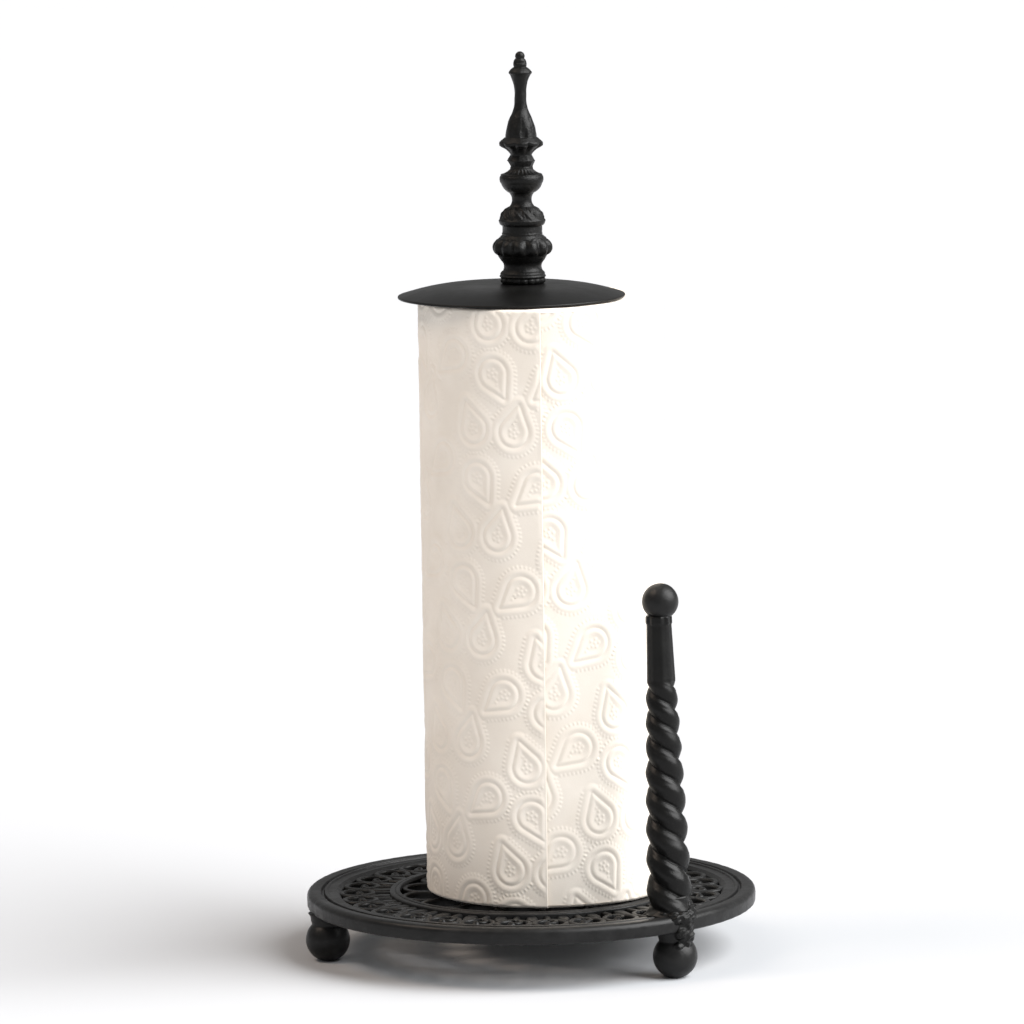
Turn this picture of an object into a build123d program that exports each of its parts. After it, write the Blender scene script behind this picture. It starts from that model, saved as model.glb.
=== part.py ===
from build123d import *

import math
import os

# A paper towel stand: a cast openwork base on three ball feet, a plain steel
# rod, a domed cap held by a turned finial, and a twisted side arm. A standard
# roll stands on the base and leans against the rod. Millimetres, +Z up. The
# origin is on the floor under the middle of the base, +Y points to the back.

# Overall sizes
BASE_RADIUS = 106.0
RIM_TOP_Z = 29.9
ROLL_LENGTH = 279.4
ROLL_RADIUS = 57.0
ARM_SHAFT_LENGTH = 138.8
FOOT_RADIUS = 10.4

# Clearances
THREAD_GAP = 0.05        # radial, a threaded piece in its hole
HOLE_GAP = 0.3           # radial, a piece that passes through a plain hole
FOOT_TO_WALL = 0.1       # foot neck behind the rim's outer wall
ROLL_UNDER_GAP = 0.3     # roll over the rim
CAP_OVER_ROLL = 0.6      # cap edge over the roll

# Base casting
RIM_THICKNESS = 7.5
RIM_WIDTH = 16.0
RIM_EDGE_ROUND = 1.4
RIM_GROOVE_INSET = 8.0
RIM_GROOVE_WIDTH = 1.3
RIM_GROOVE_DEPTH = 1.1
RIM_INNER_DROP = 0.4
INNER_RING_RADIUS = 67.0
INNER_RING_WIDTH = 5.2
INNER_RING_DROP = 0.3
INNER_RING_THICKNESS = 6.6
TRACERY_DROP = 1.5
TRACERY_THICKNESS = 4.6
JOIN = 1.0               # how far openwork runs into the ring it springs from

# Openwork: a chain of curled rings outside, petals inside
SCROLL_COUNT = 30
SCROLL_WIDTH = 2.7
SCROLL_LAP = 0.7
CURL_RADIUS = 3.1
CURL_WIDTH = 1.9
CURL_EYE_RADIUS = 2.3
LEAF_HALF_WIDTH = 3.3
LEAF_REACH = 11.0
PETAL_COUNT = 15
PETAL_WIDTH = 2.8
PETAL_LAP = 0.5

# Hub under the rod
HUB_RADIUS = 21.0
HUB_DROP = 0.9

# Feet
FOOT_COUNT = 3
FOOT_AZIMUTH = -47.7     # the foot under the side arm
FOOT_FLAT_RADIUS = 3.0
FOOT_NECK_RADIUS = 7.7
FOOT_STUD_RADIUS = 3.0
FOOT_STUD_BITE = 6.0     # into the rim
FOOT_STUD_SINK = 9.0     # into the foot

# Side arm, heights from the rim's top
ARM_INSET = 10.9         # arm axis, in from the rim's outer wall
ARM_LEAN = 2.3           # degrees, towards the rod
ARM_PAD_HEIGHT = 4.0
ARM_PAD_TOP_RADIUS = 8.4
TWIST_LENGTH = 108.0
TWIST_LOBE_BOTTOM = 15.4
TWIST_LOBE_TOP = 10.4
TWIST_STRAND_BOTTOM = 8.45
TWIST_STRAND_TOP = 5.7
TWIST_SPREAD_BOTTOM = 2.25
TWIST_SPREAD_TOP = 1.3
TWIST_STEP_ANGLE = 30.0
SHAFT_RADIUS_BOTTOM = 6.75
SHAFT_RADIUS_TOP = 5.7
SHAFT_SIDES = 10
ARM_STUD_INSET = 10.0    # in from the rim's outer wall
ARM_STUD_BITE = 14.0
ARM_BALL_RADIUS = 8.5
BALL_STUD_RADIUS = 2.5
BALL_STUD_SINK = 10.0    # into the arm
BALL_STUD_BITE = 7.0     # into the ball

# Rod and its bottom fastening
ROD_RADIUS = 6.35
ROD_CHAMFER = 0.6
BOLT_RADIUS = 4.0
BOLT_BITE = 18.0
TAPPED_EXTRA = 3.0
BOLT_HEAD_FLATS = 13.0
BOLT_HEAD_HEIGHT = 5.3
WASHER_RADIUS = 12.0
WASHER_THICKNESS = 2.0
LOCK_WASHER_RADIUS = 7.3
LOCK_WASHER_THICKNESS = 2.2
LOCK_WASHER_GAP = 1.6

# Cap
CAP_RADIUS = 53.2
CAP_OFF_CENTRE = 5.5     # the disc's centre from its hole, away from the arm
CAP_RISE = 6.2
CAP_LIP = 0.9            # straight edge under the dome
CAP_SHELL = 2.0
CAP_SEAT_RADIUS = 16.0
CAP_EDGE_SLOPE = 17.0    # degrees, where the dome meets its edge
CAP_TOP_FULLNESS = 0.46  # how far the crown stays level, of the dome's run
CAP_EDGE_FULLNESS = 0.34
CAP_BOSS_RADIUS = 12.0
CAP_BOSS_DROP = 4.3      # boss below the seat
CAP_WASHER_THICKNESS = 1.2

# Finial fastening
STUD_RADIUS = 4.0
STUD_IN_ROD = 20.0
STUD_IN_FINIAL = 16.0
FINIAL_WASHER_RADIUS = 7.6
FINIAL_WASHER_THICKNESS = 1.0
WASHER_RECESS_GAP = 0.2

# Turned outline of the finial from its foot up:
# name, height, radius at the top of the section, bulge (out +, in -)
FINIAL_FOOT_RADIUS = 9.8
FINIAL_SECTIONS = (
    ("beaded foot", 3.0, 10.3, 0.3),
    ("seat ring", 3.0, 9.4, 0.7),
    ("lower neck", 5.1, 10.3, -1.0),
    ("gadrooned bulb", 11.8, 9.3, 3.6),
    ("drum", 4.2, 9.3, 0.0),
    ("thin ring", 3.2, 10.5, 0.8),
    ("veined dome", 5.8, 5.9, 0.9),
    ("waist", 6.5, 5.9, -1.3),
    ("bead underside", 4.3, 9.6, 0.6),
    ("wide bead", 4.4, 9.4, 0.8),
    ("bead shoulder", 2.4, 5.4, -0.4),
    ("short neck", 1.2, 5.2, 0.0),
    ("facet ring, lower", 2.7, 6.4, 0.0),
    ("facet ring, upper", 2.8, 5.0, 0.0),
    ("collar underside", 4.7, 9.8, -0.4),
    ("drooping collar", 3.7, 7.35, 0.3),
    ("bell", 9.4, 4.9, 0.4),
    ("bell top", 7.5, 2.8, -0.5),
    ("upper neck", 3.0, 2.75, 0.0),
    ("bud", 10.0, 5.45, -0.8),
    ("bud shoulder", 2.5, 2.9, 0.3),
    ("bead", 4.1, 2.05, 0.6),
)
FINIAL_TIP_BALL_RADIUS = 2.25

# Paper roll
ROLL_OFFSET = 7.6        # the loose roll hangs to one side of the rod
CORE_OUTER_RADIUS = 22.0
CORE_WALL = 1.0
ROLL_EDGE_ROUND = 1.2

# Places worked out from the sizes above
RIM_UNDER_Z = RIM_TOP_Z - RIM_THICKNESS
RIM_INNER_RADIUS = BASE_RADIUS - RIM_WIDTH
INNER_RING_INSIDE = INNER_RING_RADIUS - INNER_RING_WIDTH
TRACERY_TOP_Z = RIM_TOP_Z - TRACERY_DROP
HUB_TOP_Z = RIM_TOP_Z - HUB_DROP
FOOT_CIRCLE_RADIUS = BASE_RADIUS - FOOT_TO_WALL - FOOT_NECK_RADIUS
FOOT_CENTRE_Z = math.sqrt(FOOT_RADIUS**2 - FOOT_FLAT_RADIUS**2)
ARM_CIRCLE_RADIUS = BASE_RADIUS - ARM_INSET
ARM_STUD_CIRCLE_RADIUS = BASE_RADIUS - ARM_STUD_INSET
ROLL_BOTTOM_Z = RIM_TOP_Z + ROLL_UNDER_GAP
ROLL_TOP_Z = ROLL_BOTTOM_Z + ROLL_LENGTH
CAP_EDGE_Z = ROLL_TOP_Z + CAP_OVER_ROLL
CAP_SEAT_Z = CAP_EDGE_Z + CAP_RISE
CAP_BOSS_Z = CAP_SEAT_Z - CAP_BOSS_DROP - CAP_SHELL
ROD_TOP_Z = CAP_BOSS_Z - CAP_WASHER_THICKNESS
WASHER_UNDER_Z = RIM_UNDER_Z - WASHER_THICKNESS
LOCK_UNDER_Z = WASHER_UNDER_Z - LOCK_WASHER_THICKNESS
BOLT_UNDER_Z = LOCK_UNDER_Z - BOLT_HEAD_HEIGHT
BALL_SEAT_DROP = math.sqrt(ARM_BALL_RADIUS**2 - SHAFT_RADIUS_TOP**2)


def cylinder(radius, bottom_z, top_z):
    """A round bar on the Z axis between two heights."""
    return Pos(0, 0, bottom_z) * extrude(Circle(radius), top_z - bottom_z)


def tube(outer_radius, inner_radius, bottom_z, top_z):
    """A round tube on the Z axis between two heights."""
    section = Circle(outer_radius) - Circle(inner_radius)
    return Pos(0, 0, bottom_z) * extrude(section, top_z - bottom_z)


def at_azimuth(radius, azimuth):
    """A place on a circle round the Z axis."""
    return Rot(0, 0, azimuth) * Pos(radius, 0, 0)


def mouldings(start_radius, start_z, sections):
    """Edges of a turned outline, one line or bulged arc for each section."""
    edges = []
    here = Vector(start_radius, 0, start_z)
    for _, height, radius, bulge in sections:
        there = Vector(radius, 0, here.Z + height)
        if bulge == 0.0:
            edges.append(Line(here, there))
        else:
            run = (there - here).normalized()
            outward = Vector(run.Z, 0, -run.X)
            middle = (here + there) * 0.5 + outward * bulge
            edges.append(ThreePointArc(here, middle, there))
        here = there
    return edges


def rim_solid():
    """The moulded outer rim with its groove between two bands."""
    inner_z = RIM_TOP_Z - RIM_INNER_DROP
    groove_outside = BASE_RADIUS - RIM_GROOVE_INSET + RIM_GROOVE_WIDTH / 2
    groove_inside = groove_outside - RIM_GROOVE_WIDTH
    outline = Polyline(
        (RIM_INNER_RADIUS, 0, RIM_UNDER_Z),
        (BASE_RADIUS, 0, RIM_UNDER_Z),
        (BASE_RADIUS, 0, RIM_TOP_Z),
        (groove_outside, 0, RIM_TOP_Z),
        ((groove_outside + groove_inside) / 2, 0, RIM_TOP_Z - RIM_GROOVE_DEPTH),
        (groove_inside, 0, inner_z),
        (RIM_INNER_RADIUS, 0, inner_z),
        close=True,
    )
    rim = revolve(make_face(outline), Axis.Z)
    outer_edges = [
        edge
        for edge in rim.edges().filter_by(GeomType.CIRCLE)
        if abs(edge.radius - BASE_RADIUS) < 0.01
    ]
    return fillet(outer_edges, RIM_EDGE_ROUND)


def scroll_solid():
    """One curled ring of the outer openwork, centred on +X."""
    zone_middle = (RIM_INNER_RADIUS + INNER_RING_RADIUS) / 2
    pitch = 2 * zone_middle * math.sin(math.pi / SCROLL_COUNT)
    ring_radius = pitch / 2 + SCROLL_LAP
    ring_centre = RIM_INNER_RADIUS + JOIN - ring_radius
    inside = ring_radius - SCROLL_WIDTH
    ring = Circle(ring_radius) - Circle(inside)
    curl_centre = inside - CURL_RADIUS + CURL_WIDTH / 2
    curl = Pos(-curl_centre, 0) * trace(CenterArc((0, 0), CURL_RADIUS, 180, -200), CURL_WIDTH)
    eye = Pos(-curl_centre, 0) * Pos(CURL_RADIUS, -1.0) * Circle(CURL_EYE_RADIUS)
    stem_length = ring_centre - inside - INNER_RING_RADIUS + JOIN
    stem = Pos(-inside - stem_length / 2, 0) * Rectangle(stem_length, SCROLL_WIDTH)
    plan = ring + curl + eye + stem
    return Pos(ring_centre, 0, TRACERY_TOP_Z - TRACERY_THICKNESS) * extrude(plan, TRACERY_THICKNESS)


def leaf_solid():
    """One pointed leaf that fills the gap between two rings."""
    root = INNER_RING_RADIUS - JOIN
    tip = INNER_RING_RADIUS + LEAF_REACH
    middle = (root + tip) / 2
    sides = [
        ThreePointArc((root, -LEAF_HALF_WIDTH), (middle, -LEAF_HALF_WIDTH * 0.75), (tip, 0)),
        ThreePointArc((tip, 0), (middle, LEAF_HALF_WIDTH * 0.75), (root, LEAF_HALF_WIDTH)),
        Line((root, LEAF_HALF_WIDTH), (root, -LEAF_HALF_WIDTH)),
    ]
    leaf = extrude(make_face(sides), TRACERY_THICKNESS)
    return Rot(0, 0, 180 / SCROLL_COUNT) * Pos(0, 0, TRACERY_TOP_Z - TRACERY_THICKNESS) * leaf


def petal_solid():
    """One looped petal between the hub and the inner ring, centred on +X."""
    reach = INNER_RING_INSIDE - HUB_RADIUS
    half_pitch = math.radians(180 / PETAL_COUNT)
    touching = (INNER_RING_INSIDE + JOIN) * math.sin(half_pitch) / (1 + math.sin(half_pitch))
    loop_radius = touching + PETAL_LAP
    loop_centre = INNER_RING_INSIDE + JOIN - loop_radius
    loop = Pos(loop_centre, 0) * (Circle(loop_radius) - Circle(loop_radius - PETAL_WIDTH))
    spoke_inside = HUB_RADIUS - JOIN
    spoke_outside = loop_centre - loop_radius + PETAL_WIDTH / 2
    spoke = Pos((spoke_inside + spoke_outside) / 2, 0) * Rectangle(
        spoke_outside - spoke_inside, PETAL_WIDTH
    )
    collar = Pos(HUB_RADIUS + reach / 3, 0) * Circle(PETAL_WIDTH)
    plan = loop + spoke + collar
    return Pos(0, 0, TRACERY_TOP_Z - TRACERY_THICKNESS) * extrude(plan, TRACERY_THICKNESS)


def foot_azimuths():
    """Where the feet stand, the one under the arm first."""
    return [FOOT_AZIMUTH - 360 / FOOT_COUNT * index for index in range(FOOT_COUNT)]


def base_casting():
    """The base in one piece: rim, openwork, inner ring, hub and arm pad."""
    ring_top = RIM_TOP_Z - INNER_RING_DROP
    inner_ring = tube(
        INNER_RING_RADIUS, INNER_RING_INSIDE, ring_top - INNER_RING_THICKNESS, ring_top
    )
    hub = cylinder(HUB_RADIUS, RIM_UNDER_Z, HUB_TOP_Z)
    pad = at_azimuth(ARM_CIRCLE_RADIUS, FOOT_AZIMUTH) * cylinder(
        ARM_INSET - FOOT_TO_WALL, RIM_UNDER_Z, RIM_TOP_Z
    )
    pieces = [inner_ring, hub, pad]
    for index in range(SCROLL_COUNT):
        turn = Rot(0, 0, 360 / SCROLL_COUNT * index)
        pieces.append(turn * scroll_solid())
        pieces.append(turn * leaf_solid())
    for index in range(PETAL_COUNT):
        pieces.append(Rot(0, 0, 360 / PETAL_COUNT * index) * petal_solid())
    casting = rim_solid() + pieces
    casting -= cylinder(BOLT_RADIUS + HOLE_GAP, RIM_UNDER_Z, HUB_TOP_Z)
    stud_hole = cylinder(FOOT_STUD_RADIUS + THREAD_GAP, RIM_UNDER_Z, RIM_UNDER_Z + FOOT_STUD_BITE)
    for azimuth in foot_azimuths()[1:]:
        casting -= at_azimuth(FOOT_CIRCLE_RADIUS, azimuth) * stud_hole
    through_hole = cylinder(FOOT_STUD_RADIUS + THREAD_GAP, RIM_UNDER_Z, RIM_TOP_Z)
    casting -= at_azimuth(ARM_STUD_CIRCLE_RADIUS, FOOT_AZIMUTH) * through_hole
    return casting


def foot(azimuth, stud_circle):
    """A ball foot with a short neck, flat where it stands, tapped from above."""
    ball = Pos(0, 0, FOOT_CENTRE_Z) * Sphere(FOOT_RADIUS)
    neck = cylinder(FOOT_NECK_RADIUS, FOOT_CENTRE_Z, RIM_UNDER_Z)
    blank = ball + neck
    blank -= Pos(0, 0, -FOOT_RADIUS) * Box(4 * FOOT_RADIUS, 4 * FOOT_RADIUS, 2 * FOOT_RADIUS)
    blank = at_azimuth(FOOT_CIRCLE_RADIUS, azimuth) * blank
    hole = cylinder(
        FOOT_STUD_RADIUS + THREAD_GAP, RIM_UNDER_Z - FOOT_STUD_SINK - TAPPED_EXTRA, RIM_UNDER_Z
    )
    return blank - at_azimuth(stud_circle, azimuth) * hole


def foot_stud(azimuth, stud_circle, top_z):
    """The headless stud that holds a foot to the rim."""
    stud = cylinder(FOOT_STUD_RADIUS, RIM_UNDER_Z - FOOT_STUD_SINK, top_z)
    return at_azimuth(stud_circle, azimuth) * stud


def twist_angle(height):
    """Left-handed turn of the arm's two strands at a height, in degrees."""
    shrink = (TWIST_LOBE_BOTTOM - TWIST_LOBE_TOP) / TWIST_LENGTH
    return -180 / shrink * math.log(TWIST_LOBE_BOTTOM / (TWIST_LOBE_BOTTOM - shrink * height))


def twist_section(height):
    """Two overlapping round strands, cut across at a height."""
    share = height / TWIST_LENGTH
    radius = TWIST_STRAND_BOTTOM + (TWIST_STRAND_TOP - TWIST_STRAND_BOTTOM) * share
    spread = TWIST_SPREAD_BOTTOM + (TWIST_SPREAD_TOP - TWIST_SPREAD_BOTTOM) * share
    crease = math.sqrt(radius**2 - spread**2)
    outline = [
        ThreePointArc((0, -crease), (spread + radius, 0), (0, crease)),
        ThreePointArc((0, crease), (-spread - radius, 0), (0, -crease)),
    ]
    return Pos(0, 0, height) * Rot(0, 0, twist_angle(height)) * make_face(outline)


def twisted_shaft():
    """The twisted lower part of the arm, lofted through turned sections."""
    steps = math.ceil(-twist_angle(TWIST_LENGTH) / TWIST_STEP_ANGLE)
    sections = [twist_section(TWIST_LENGTH * index / steps) for index in range(steps + 1)]
    return loft(sections, ruled=True)


def smooth_shaft():
    """The faceted, tapered upper part of the arm."""
    lower = Pos(0, 0, TWIST_LENGTH) * RegularPolygon(SHAFT_RADIUS_BOTTOM, SHAFT_SIDES)
    upper = Pos(0, 0, ARM_SHAFT_LENGTH) * RegularPolygon(SHAFT_RADIUS_TOP, SHAFT_SIDES)
    return loft([lower, upper])


def on_the_arm():
    """The leaning frame of the arm: its Z runs up the shaft."""
    return at_azimuth(ARM_CIRCLE_RADIUS, FOOT_AZIMUTH) * Pos(0, 0, RIM_TOP_Z) * Rot(0, -ARM_LEAN, 0)


def side_arm():
    """The twisted arm with a flared foot that stands on the rim."""
    shaft = on_the_arm() * (twisted_shaft() + smooth_shaft())
    flare = Pos(0, 0, RIM_TOP_Z) * Cone(
        ARM_INSET - 2 * FOOT_TO_WALL, ARM_PAD_TOP_RADIUS, ARM_PAD_HEIGHT,
        align=(Align.CENTER, Align.CENTER, Align.MIN),
    )
    arm = shaft + at_azimuth(ARM_CIRCLE_RADIUS, FOOT_AZIMUTH) * flare
    arm -= Pos(0, 0, RIM_TOP_Z - BASE_RADIUS) * Box(4 * BASE_RADIUS, 4 * BASE_RADIUS, 2 * BASE_RADIUS)
    stud_hole = cylinder(FOOT_STUD_RADIUS + THREAD_GAP, RIM_TOP_Z, RIM_TOP_Z + ARM_STUD_BITE + TAPPED_EXTRA)
    arm -= at_azimuth(ARM_STUD_CIRCLE_RADIUS, FOOT_AZIMUTH) * stud_hole
    ball_hole = cylinder(
        BALL_STUD_RADIUS + THREAD_GAP, ARM_SHAFT_LENGTH - BALL_STUD_SINK - TAPPED_EXTRA, ARM_SHAFT_LENGTH
    )
    return arm - on_the_arm() * ball_hole


def arm_ball():
    """The ball that ends the arm, flat where it screws down."""
    ball = Pos(0, 0, ARM_SHAFT_LENGTH + BALL_SEAT_DROP) * Sphere(ARM_BALL_RADIUS)
    ball -= Pos(0, 0, ARM_SHAFT_LENGTH - ARM_BALL_RADIUS) * Box(
        4 * ARM_BALL_RADIUS, 4 * ARM_BALL_RADIUS, 2 * ARM_BALL_RADIUS
    )
    hole_top = ARM_SHAFT_LENGTH + BALL_STUD_BITE + TAPPED_EXTRA
    ball -= cylinder(BALL_STUD_RADIUS + THREAD_GAP, ARM_SHAFT_LENGTH, hole_top)
    return on_the_arm() * ball


def arm_ball_stud():
    """The stud between the arm and its ball."""
    stud = cylinder(
        BALL_STUD_RADIUS, ARM_SHAFT_LENGTH - BALL_STUD_SINK, ARM_SHAFT_LENGTH + BALL_STUD_BITE
    )
    return on_the_arm() * stud


def center_rod():
    """The plain rod, tapped at both ends."""
    rod = cylinder(ROD_RADIUS, HUB_TOP_Z, ROD_TOP_Z)
    rod = chamfer(rod.edges().filter_by(GeomType.CIRCLE), ROD_CHAMFER)
    rod -= cylinder(BOLT_RADIUS + THREAD_GAP, HUB_TOP_Z, HUB_TOP_Z + BOLT_BITE + TAPPED_EXTRA)
    return rod - cylinder(STUD_RADIUS + THREAD_GAP, ROD_TOP_Z - STUD_IN_ROD - TAPPED_EXTRA, ROD_TOP_Z)


def base_bolt():
    """The hexagon bolt that draws the rod down on the hub."""
    hexagon = RegularPolygon(BOLT_HEAD_FLATS / 2, 6, major_radius=False)
    head = Pos(0, 0, BOLT_UNDER_Z) * extrude(hexagon, BOLT_HEAD_HEIGHT)
    return head + cylinder(BOLT_RADIUS, LOCK_UNDER_Z, HUB_TOP_Z + BOLT_BITE)


def base_washer():
    """The wide flat washer under the hub."""
    return tube(WASHER_RADIUS, BOLT_RADIUS + HOLE_GAP, WASHER_UNDER_Z, RIM_UNDER_Z)


def base_lock_washer():
    """The split spring washer, flattened by the bolt."""
    ring = tube(LOCK_WASHER_RADIUS, BOLT_RADIUS + HOLE_GAP, LOCK_UNDER_Z, WASHER_UNDER_Z)
    slot = Box(2 * LOCK_WASHER_RADIUS, LOCK_WASHER_GAP, 2 * LOCK_WASHER_THICKNESS)
    slot_place = Pos(LOCK_WASHER_RADIUS, 0, (LOCK_UNDER_Z + WASHER_UNDER_Z) / 2)
    return ring - slot_place * Rot(30, 0, 0) * slot


def dome_curve(seat_radius, edge_radius, edge_z, seat_z):
    """The dome from its level crown down to its edge."""
    run = edge_radius - seat_radius
    edge_run = run * CAP_EDGE_FULLNESS
    return Bezier(
        (seat_radius, 0, seat_z),
        (seat_radius + run * CAP_TOP_FULLNESS, 0, seat_z),
        (edge_radius - edge_run, 0, edge_z + edge_run * math.tan(math.radians(CAP_EDGE_SLOPE))),
        (edge_radius, 0, edge_z),
    )


def cap_disc():
    """The domed cap: a thin shell with a boss over the rod, its hole off the disc's centre."""
    shell_edge_radius = CAP_RADIUS - CAP_SHELL
    shell_top_z = CAP_SEAT_Z - CAP_SHELL
    outline = [
        Line((0, 0, CAP_SEAT_Z), (CAP_SEAT_RADIUS, 0, CAP_SEAT_Z)),
        dome_curve(CAP_SEAT_RADIUS, CAP_RADIUS, CAP_EDGE_Z + CAP_LIP, CAP_SEAT_Z),
        Line((CAP_RADIUS, 0, CAP_EDGE_Z + CAP_LIP), (CAP_RADIUS, 0, CAP_EDGE_Z)),
        Line((CAP_RADIUS, 0, CAP_EDGE_Z), (shell_edge_radius, 0, CAP_EDGE_Z)),
        dome_curve(CAP_SEAT_RADIUS, shell_edge_radius, CAP_EDGE_Z, shell_top_z),
        Line((CAP_SEAT_RADIUS, 0, shell_top_z), (0, 0, shell_top_z)),
        Line((0, 0, shell_top_z), (0, 0, CAP_SEAT_Z)),
    ]
    cap = Pos(-CAP_OFF_CENTRE, 0, 0) * revolve(make_face(outline), Axis.Z)
    cap += cylinder(CAP_BOSS_RADIUS, CAP_BOSS_Z, CAP_SEAT_Z - CAP_SHELL / 2)
    return cap - cylinder(STUD_RADIUS + HOLE_GAP, CAP_BOSS_Z, CAP_SEAT_Z)


def cap_washer():
    """The washer between the cap's boss and the rod."""
    return tube(ROD_RADIUS, STUD_RADIUS + HOLE_GAP, ROD_TOP_Z, CAP_BOSS_Z)


def finial_stud():
    """The stud that stands out of the rod and takes the finial."""
    return cylinder(STUD_RADIUS, ROD_TOP_Z - STUD_IN_ROD, CAP_SEAT_Z + STUD_IN_FINIAL)


def finial_washer():
    """The washer in the finial's foot."""
    top_z = CAP_SEAT_Z + FINIAL_WASHER_THICKNESS
    return tube(FINIAL_WASHER_RADIUS, STUD_RADIUS + HOLE_GAP, CAP_SEAT_Z, top_z)


def finial():
    """The turned and cast finial, tapped from below."""
    top_z = CAP_SEAT_Z + sum(section[1] for section in FINIAL_SECTIONS)
    top_radius = FINIAL_SECTIONS[-1][2]
    outline = mouldings(FINIAL_FOOT_RADIUS, CAP_SEAT_Z, FINIAL_SECTIONS)
    outline.append(Line((top_radius, 0, top_z), (0, 0, top_z)))
    outline.append(Line((0, 0, top_z), (0, 0, CAP_SEAT_Z)))
    outline.append(Line((0, 0, CAP_SEAT_Z), (FINIAL_FOOT_RADIUS, 0, CAP_SEAT_Z)))
    body = revolve(make_face(outline), Axis.Z)
    ball_rise = math.sqrt(FINIAL_TIP_BALL_RADIUS**2 - top_radius**2)
    body += Pos(0, 0, top_z + ball_rise) * Sphere(FINIAL_TIP_BALL_RADIUS)
    recess_top = CAP_SEAT_Z + FINIAL_WASHER_THICKNESS
    body -= cylinder(FINIAL_WASHER_RADIUS + WASHER_RECESS_GAP, CAP_SEAT_Z, recess_top)
    hole_top = CAP_SEAT_Z + STUD_IN_FINIAL + TAPPED_EXTRA
    return body - cylinder(STUD_RADIUS + THREAD_GAP, recess_top, hole_top)


def paper_core():
    """The cardboard tube inside the roll."""
    core = tube(CORE_OUTER_RADIUS, CORE_OUTER_RADIUS - CORE_WALL, ROLL_BOTTOM_Z, ROLL_TOP_Z)
    return Pos(ROLL_OFFSET, 0, 0) * core


def paper_roll():
    """The wound paper, with slightly rounded ends."""
    roll = cylinder(ROLL_RADIUS, ROLL_BOTTOM_Z, ROLL_TOP_Z)
    roll = fillet(roll.edges().filter_by(GeomType.CIRCLE), ROLL_EDGE_ROUND)
    roll -= cylinder(CORE_OUTER_RADIUS, ROLL_BOTTOM_Z, ROLL_TOP_Z)
    return Pos(ROLL_OFFSET, 0, 0) * roll


def all_nodes():
    """Every piece of the stand and of the roll, by name."""
    under_arm, left, back = foot_azimuths()
    stud_top = RIM_UNDER_Z + FOOT_STUD_BITE
    arm_stud_top = RIM_TOP_Z + ARM_STUD_BITE
    return {
        "base_casting": base_casting(),
        "foot_front_right": foot(under_arm, ARM_STUD_CIRCLE_RADIUS),
        "foot_left": foot(left, FOOT_CIRCLE_RADIUS),
        "foot_back": foot(back, FOOT_CIRCLE_RADIUS),
        "arm_stud": foot_stud(under_arm, ARM_STUD_CIRCLE_RADIUS, arm_stud_top),
        "foot_stud_left": foot_stud(left, FOOT_CIRCLE_RADIUS, stud_top),
        "foot_stud_back": foot_stud(back, FOOT_CIRCLE_RADIUS, stud_top),
        "side_arm": side_arm(),
        "arm_ball": arm_ball(),
        "arm_ball_stud": arm_ball_stud(),
        "center_rod": center_rod(),
        "base_bolt": base_bolt(),
        "base_washer": base_washer(),
        "base_lock_washer": base_lock_washer(),
        "finial_stud": finial_stud(),
        "cap_disc": cap_disc(),
        "cap_washer": cap_washer(),
        "finial_washer": finial_washer(),
        "finial": finial(),
        "paper_core": paper_core(),
        "paper_roll": paper_roll(),
    }


os.makedirs("parts", exist_ok=True)
for name, shape in all_nodes().items():
    export_step(shape, f"parts/{name}.step")
    print(name, round(shape.volume), "mm3")
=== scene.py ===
# %% [markdown]
# A countertop paper towel stand: a black cast base with openwork on three ball feet, a twisted
# side arm, a domed cap under an ornamental finial, and a roll of embossed paper. The packed
# model gives the frame, with every place and size. Each visible piece is then modelled over it
# at the same size, with the detail that a casting or a paper roll really has.

import math

import bpy
import numpy as np
from mathutils import Euler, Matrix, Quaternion, Vector


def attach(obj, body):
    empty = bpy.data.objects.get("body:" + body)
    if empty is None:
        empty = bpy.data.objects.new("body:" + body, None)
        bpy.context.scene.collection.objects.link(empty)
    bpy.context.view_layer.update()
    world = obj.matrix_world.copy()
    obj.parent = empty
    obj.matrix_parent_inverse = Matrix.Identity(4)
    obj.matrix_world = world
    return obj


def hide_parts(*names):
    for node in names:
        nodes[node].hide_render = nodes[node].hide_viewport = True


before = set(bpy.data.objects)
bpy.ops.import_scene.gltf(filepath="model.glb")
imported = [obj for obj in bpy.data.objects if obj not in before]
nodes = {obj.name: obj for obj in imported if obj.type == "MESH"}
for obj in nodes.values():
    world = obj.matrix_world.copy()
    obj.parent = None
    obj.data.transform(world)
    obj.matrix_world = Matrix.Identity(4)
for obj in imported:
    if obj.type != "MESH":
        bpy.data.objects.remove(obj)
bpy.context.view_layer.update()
MM = 0.001

# %% [markdown]
# The camera stands a little above the rod's top and looks down at a small angle through a long
# lens, which keeps the upright lines nearly parallel, as a catalogue picture does.

# %% Camera
CAMERA_PLACE = (-0.00662, -3.2603, 0.6441)
CAMERA_LENS = 246.3
CAMERA_SENSOR = 36.0
LOOK_DOWN = 7.608
ROLL_TURN = -0.798

camera_data = bpy.data.cameras.new("camera")
camera_data.lens = CAMERA_LENS
camera_data.sensor_width = CAMERA_SENSOR
camera_data.clip_end = 100.0
camera = bpy.data.objects.new("camera", camera_data)
bpy.context.scene.collection.objects.link(camera)
camera.location = CAMERA_PLACE
camera.rotation_mode = "QUATERNION"
tilt = Euler((math.radians(90.0 - LOOK_DOWN), 0.0, 0.0)).to_quaternion()
camera.rotation_quaternion = tilt @ Quaternion((0.0, 0.0, 1.0), math.radians(ROLL_TURN))
bpy.context.scene.camera = camera
print("camera at", CAMERA_PLACE)

# %% [markdown]
# Colours are written as the sRGB hex values that a colour picker shows, and one function turns
# them to the linear values that shaders want. One more function adds any node to a material,
# with its settings and its links.

# %% Colour and node helpers


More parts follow.
